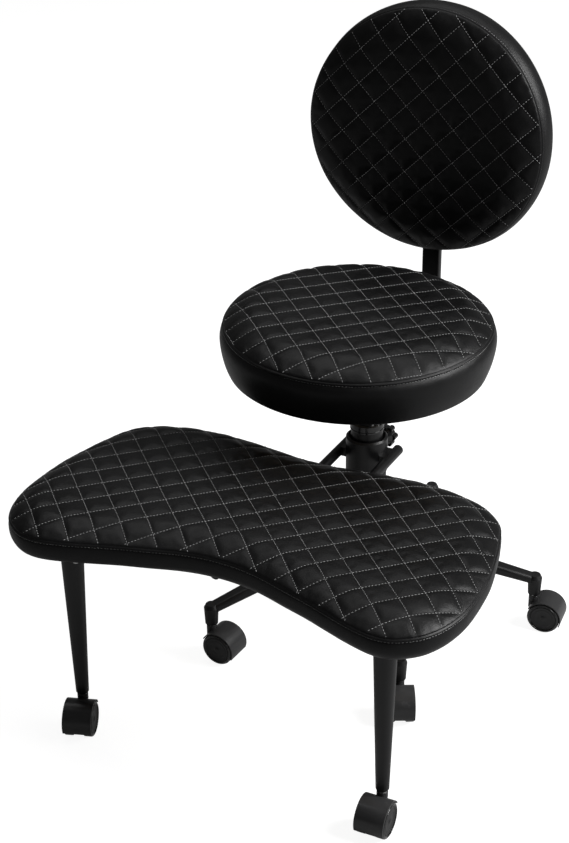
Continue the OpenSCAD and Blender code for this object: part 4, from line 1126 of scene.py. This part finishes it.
class CHAIR_OT_stage(Operator):
    """Makes the floor, the lights and the camera"""
    bl_idname = "chair.stage"
    bl_label = "Stage"

    def execute(self, context):
        s, scene = context.scene.chair_stage, context.scene
        bm = bmesh.new()
        bmesh.ops.create_grid(bm, x_segments=2, y_segments=2, size=FLOOR_HALF)
        bmesh.ops.translate(bm, verts=bm.verts[:], vec=(0, 0, -FLOOR_DROP))
        mat = bpy.data.materials.new("Stage floor")
        tree = empty_tree(mat)
        matt = tree.nodes.new("ShaderNodeBsdfDiffuse")
        matt.inputs["Color"].default_value = tuple(s.floor)
        glow = tree.nodes.new("ShaderNodeEmission")
        wire(tree, math_node(tree, "MULTIPLY", seen_share(tree, FLOOR_MIRRORED), FLOOR_GLOW),
             glow.inputs["Strength"])
        both = tree.nodes.new("ShaderNodeAddShader")
        wire(tree, matt.outputs[0], both.inputs[0])
        wire(tree, glow.outputs[0], both.inputs[1])
        wire(tree, both.outputs[0], tree.nodes.new("ShaderNodeOutputMaterial").inputs["Surface"])
        floor = to_object(bm, "floor", mat)

        scene.world = bpy.data.worlds.new("Room")
        tree = empty_tree(scene.world)
        room, white = (tree.nodes.new("ShaderNodeBackground") for _ in range(2))
        for back, level in ((room, s.room), (white, 1.0)):
            back.inputs["Color"].default_value = (1, 1, 1, 1)
            back.inputs["Strength"].default_value = level
        mix = tree.nodes.new("ShaderNodeMixShader")
        wire(tree, seen_share(tree, ROOM_MIRRORED), mix.inputs[0])
        wire(tree, room.outputs[0], mix.inputs[1])
        wire(tree, white.outputs[0], mix.inputs[2])
        wire(tree, mix.outputs[0], tree.nodes.new("ShaderNodeOutputWorld").inputs["Surface"])

        for name, at, size in LIT_FROM:
            lamp = bpy.data.lights.new(name, "AREA")
            lamp.shape, lamp.size, lamp.energy = "SQUARE", size, getattr(s, name)
            ob = bpy.data.objects.new(name, lamp)
            ob.location = at
            ob.rotation_mode = "QUATERNION"
            ob.rotation_quaternion = (LIT_AT - Vector(at)).to_track_quat("-Z", "Y")
            scene.collection.objects.link(ob)

        camera = bpy.data.cameras.new("camera")
        camera.lens, camera.sensor_width = CAMERA_LENS, CAMERA_SENSOR
        camera.clip_start, camera.clip_end = 0.05, 200.0
        a, e, roll = (math.radians(v) for v in (CAMERA_TURN, CAMERA_DOWN, CAMERA_ROLL))
        ob = bpy.data.objects.new("camera", camera)
        ob.matrix_world = (Matrix.Translation(CAMERA_AT) @ Matrix.Rotation(a, 4, "Z")
                           @ Matrix.Rotation(math.pi / 2 - e, 4, "X")
                           @ Matrix.Rotation(roll, 4, "Z"))
        scene.collection.objects.link(ob)
        scene.camera = ob
        scene.view_settings.view_transform = "Standard"
        return {"FINISHED"}


class CHAIR_PT_panel(Panel):
    """Sizes, finishes and steps of the chair"""
    bl_idname = "CHAIR_PT_panel"
    bl_label = "Cross-legged office chair"
    bl_space_type = "VIEW_3D"
    bl_region_type = "UI"
    bl_category = "Chair"

    def draw(self, context):
        scene = context.scene
        for title, group in (("Quilting", scene.chair_quilt), ("Pads", scene.chair_pads),
                             ("Finishes", scene.chair_finish), ("Stage", scene.chair_stage)):
            box = self.layout.box()
            box.label(text=title)
            for key in group.__annotations__:
                box.prop(group, key)
        for op in STEPS:
            self.layout.operator(op.bl_idname)


STEPS = [CHAIR_OT_frame_finish, CHAIR_OT_seat_pad, CHAIR_OT_back_pad, CHAIR_OT_rest_pad,
         CHAIR_OT_back_cover, CHAIR_OT_wheel_caps, CHAIR_OT_welds, CHAIR_OT_stage]
GROUPS = {"chair_quilt": ChairQuiltSettings, "chair_pads": ChairPadSettings,
          "chair_finish": ChairFinishSettings, "chair_stage": ChairStageSettings}


def register():
    for key, group in GROUPS.items():
        bpy.utils.register_class(group)
        setattr(bpy.types.Scene, key, PointerProperty(type=group))
    for item in STEPS + [CHAIR_PT_panel]:
        bpy.utils.register_class(item)


def unregister():
    for item in reversed(STEPS + [CHAIR_PT_panel]):
        bpy.utils.unregister_class(item)
    for key, group in reversed(GROUPS.items()):
        delattr(bpy.types.Scene, key)
        bpy.utils.unregister_class(group)


def main():
    register()
    bpy.ops.chair.frame_finish()
    bpy.ops.chair.seat_pad()
    bpy.ops.chair.back_pad()
    bpy.ops.chair.rest_pad()
    bpy.ops.chair.back_cover()
    bpy.ops.chair.wheel_caps()
    bpy.ops.chair.welds()
    bpy.ops.chair.stage()


if __name__ == "__main__":
    main()
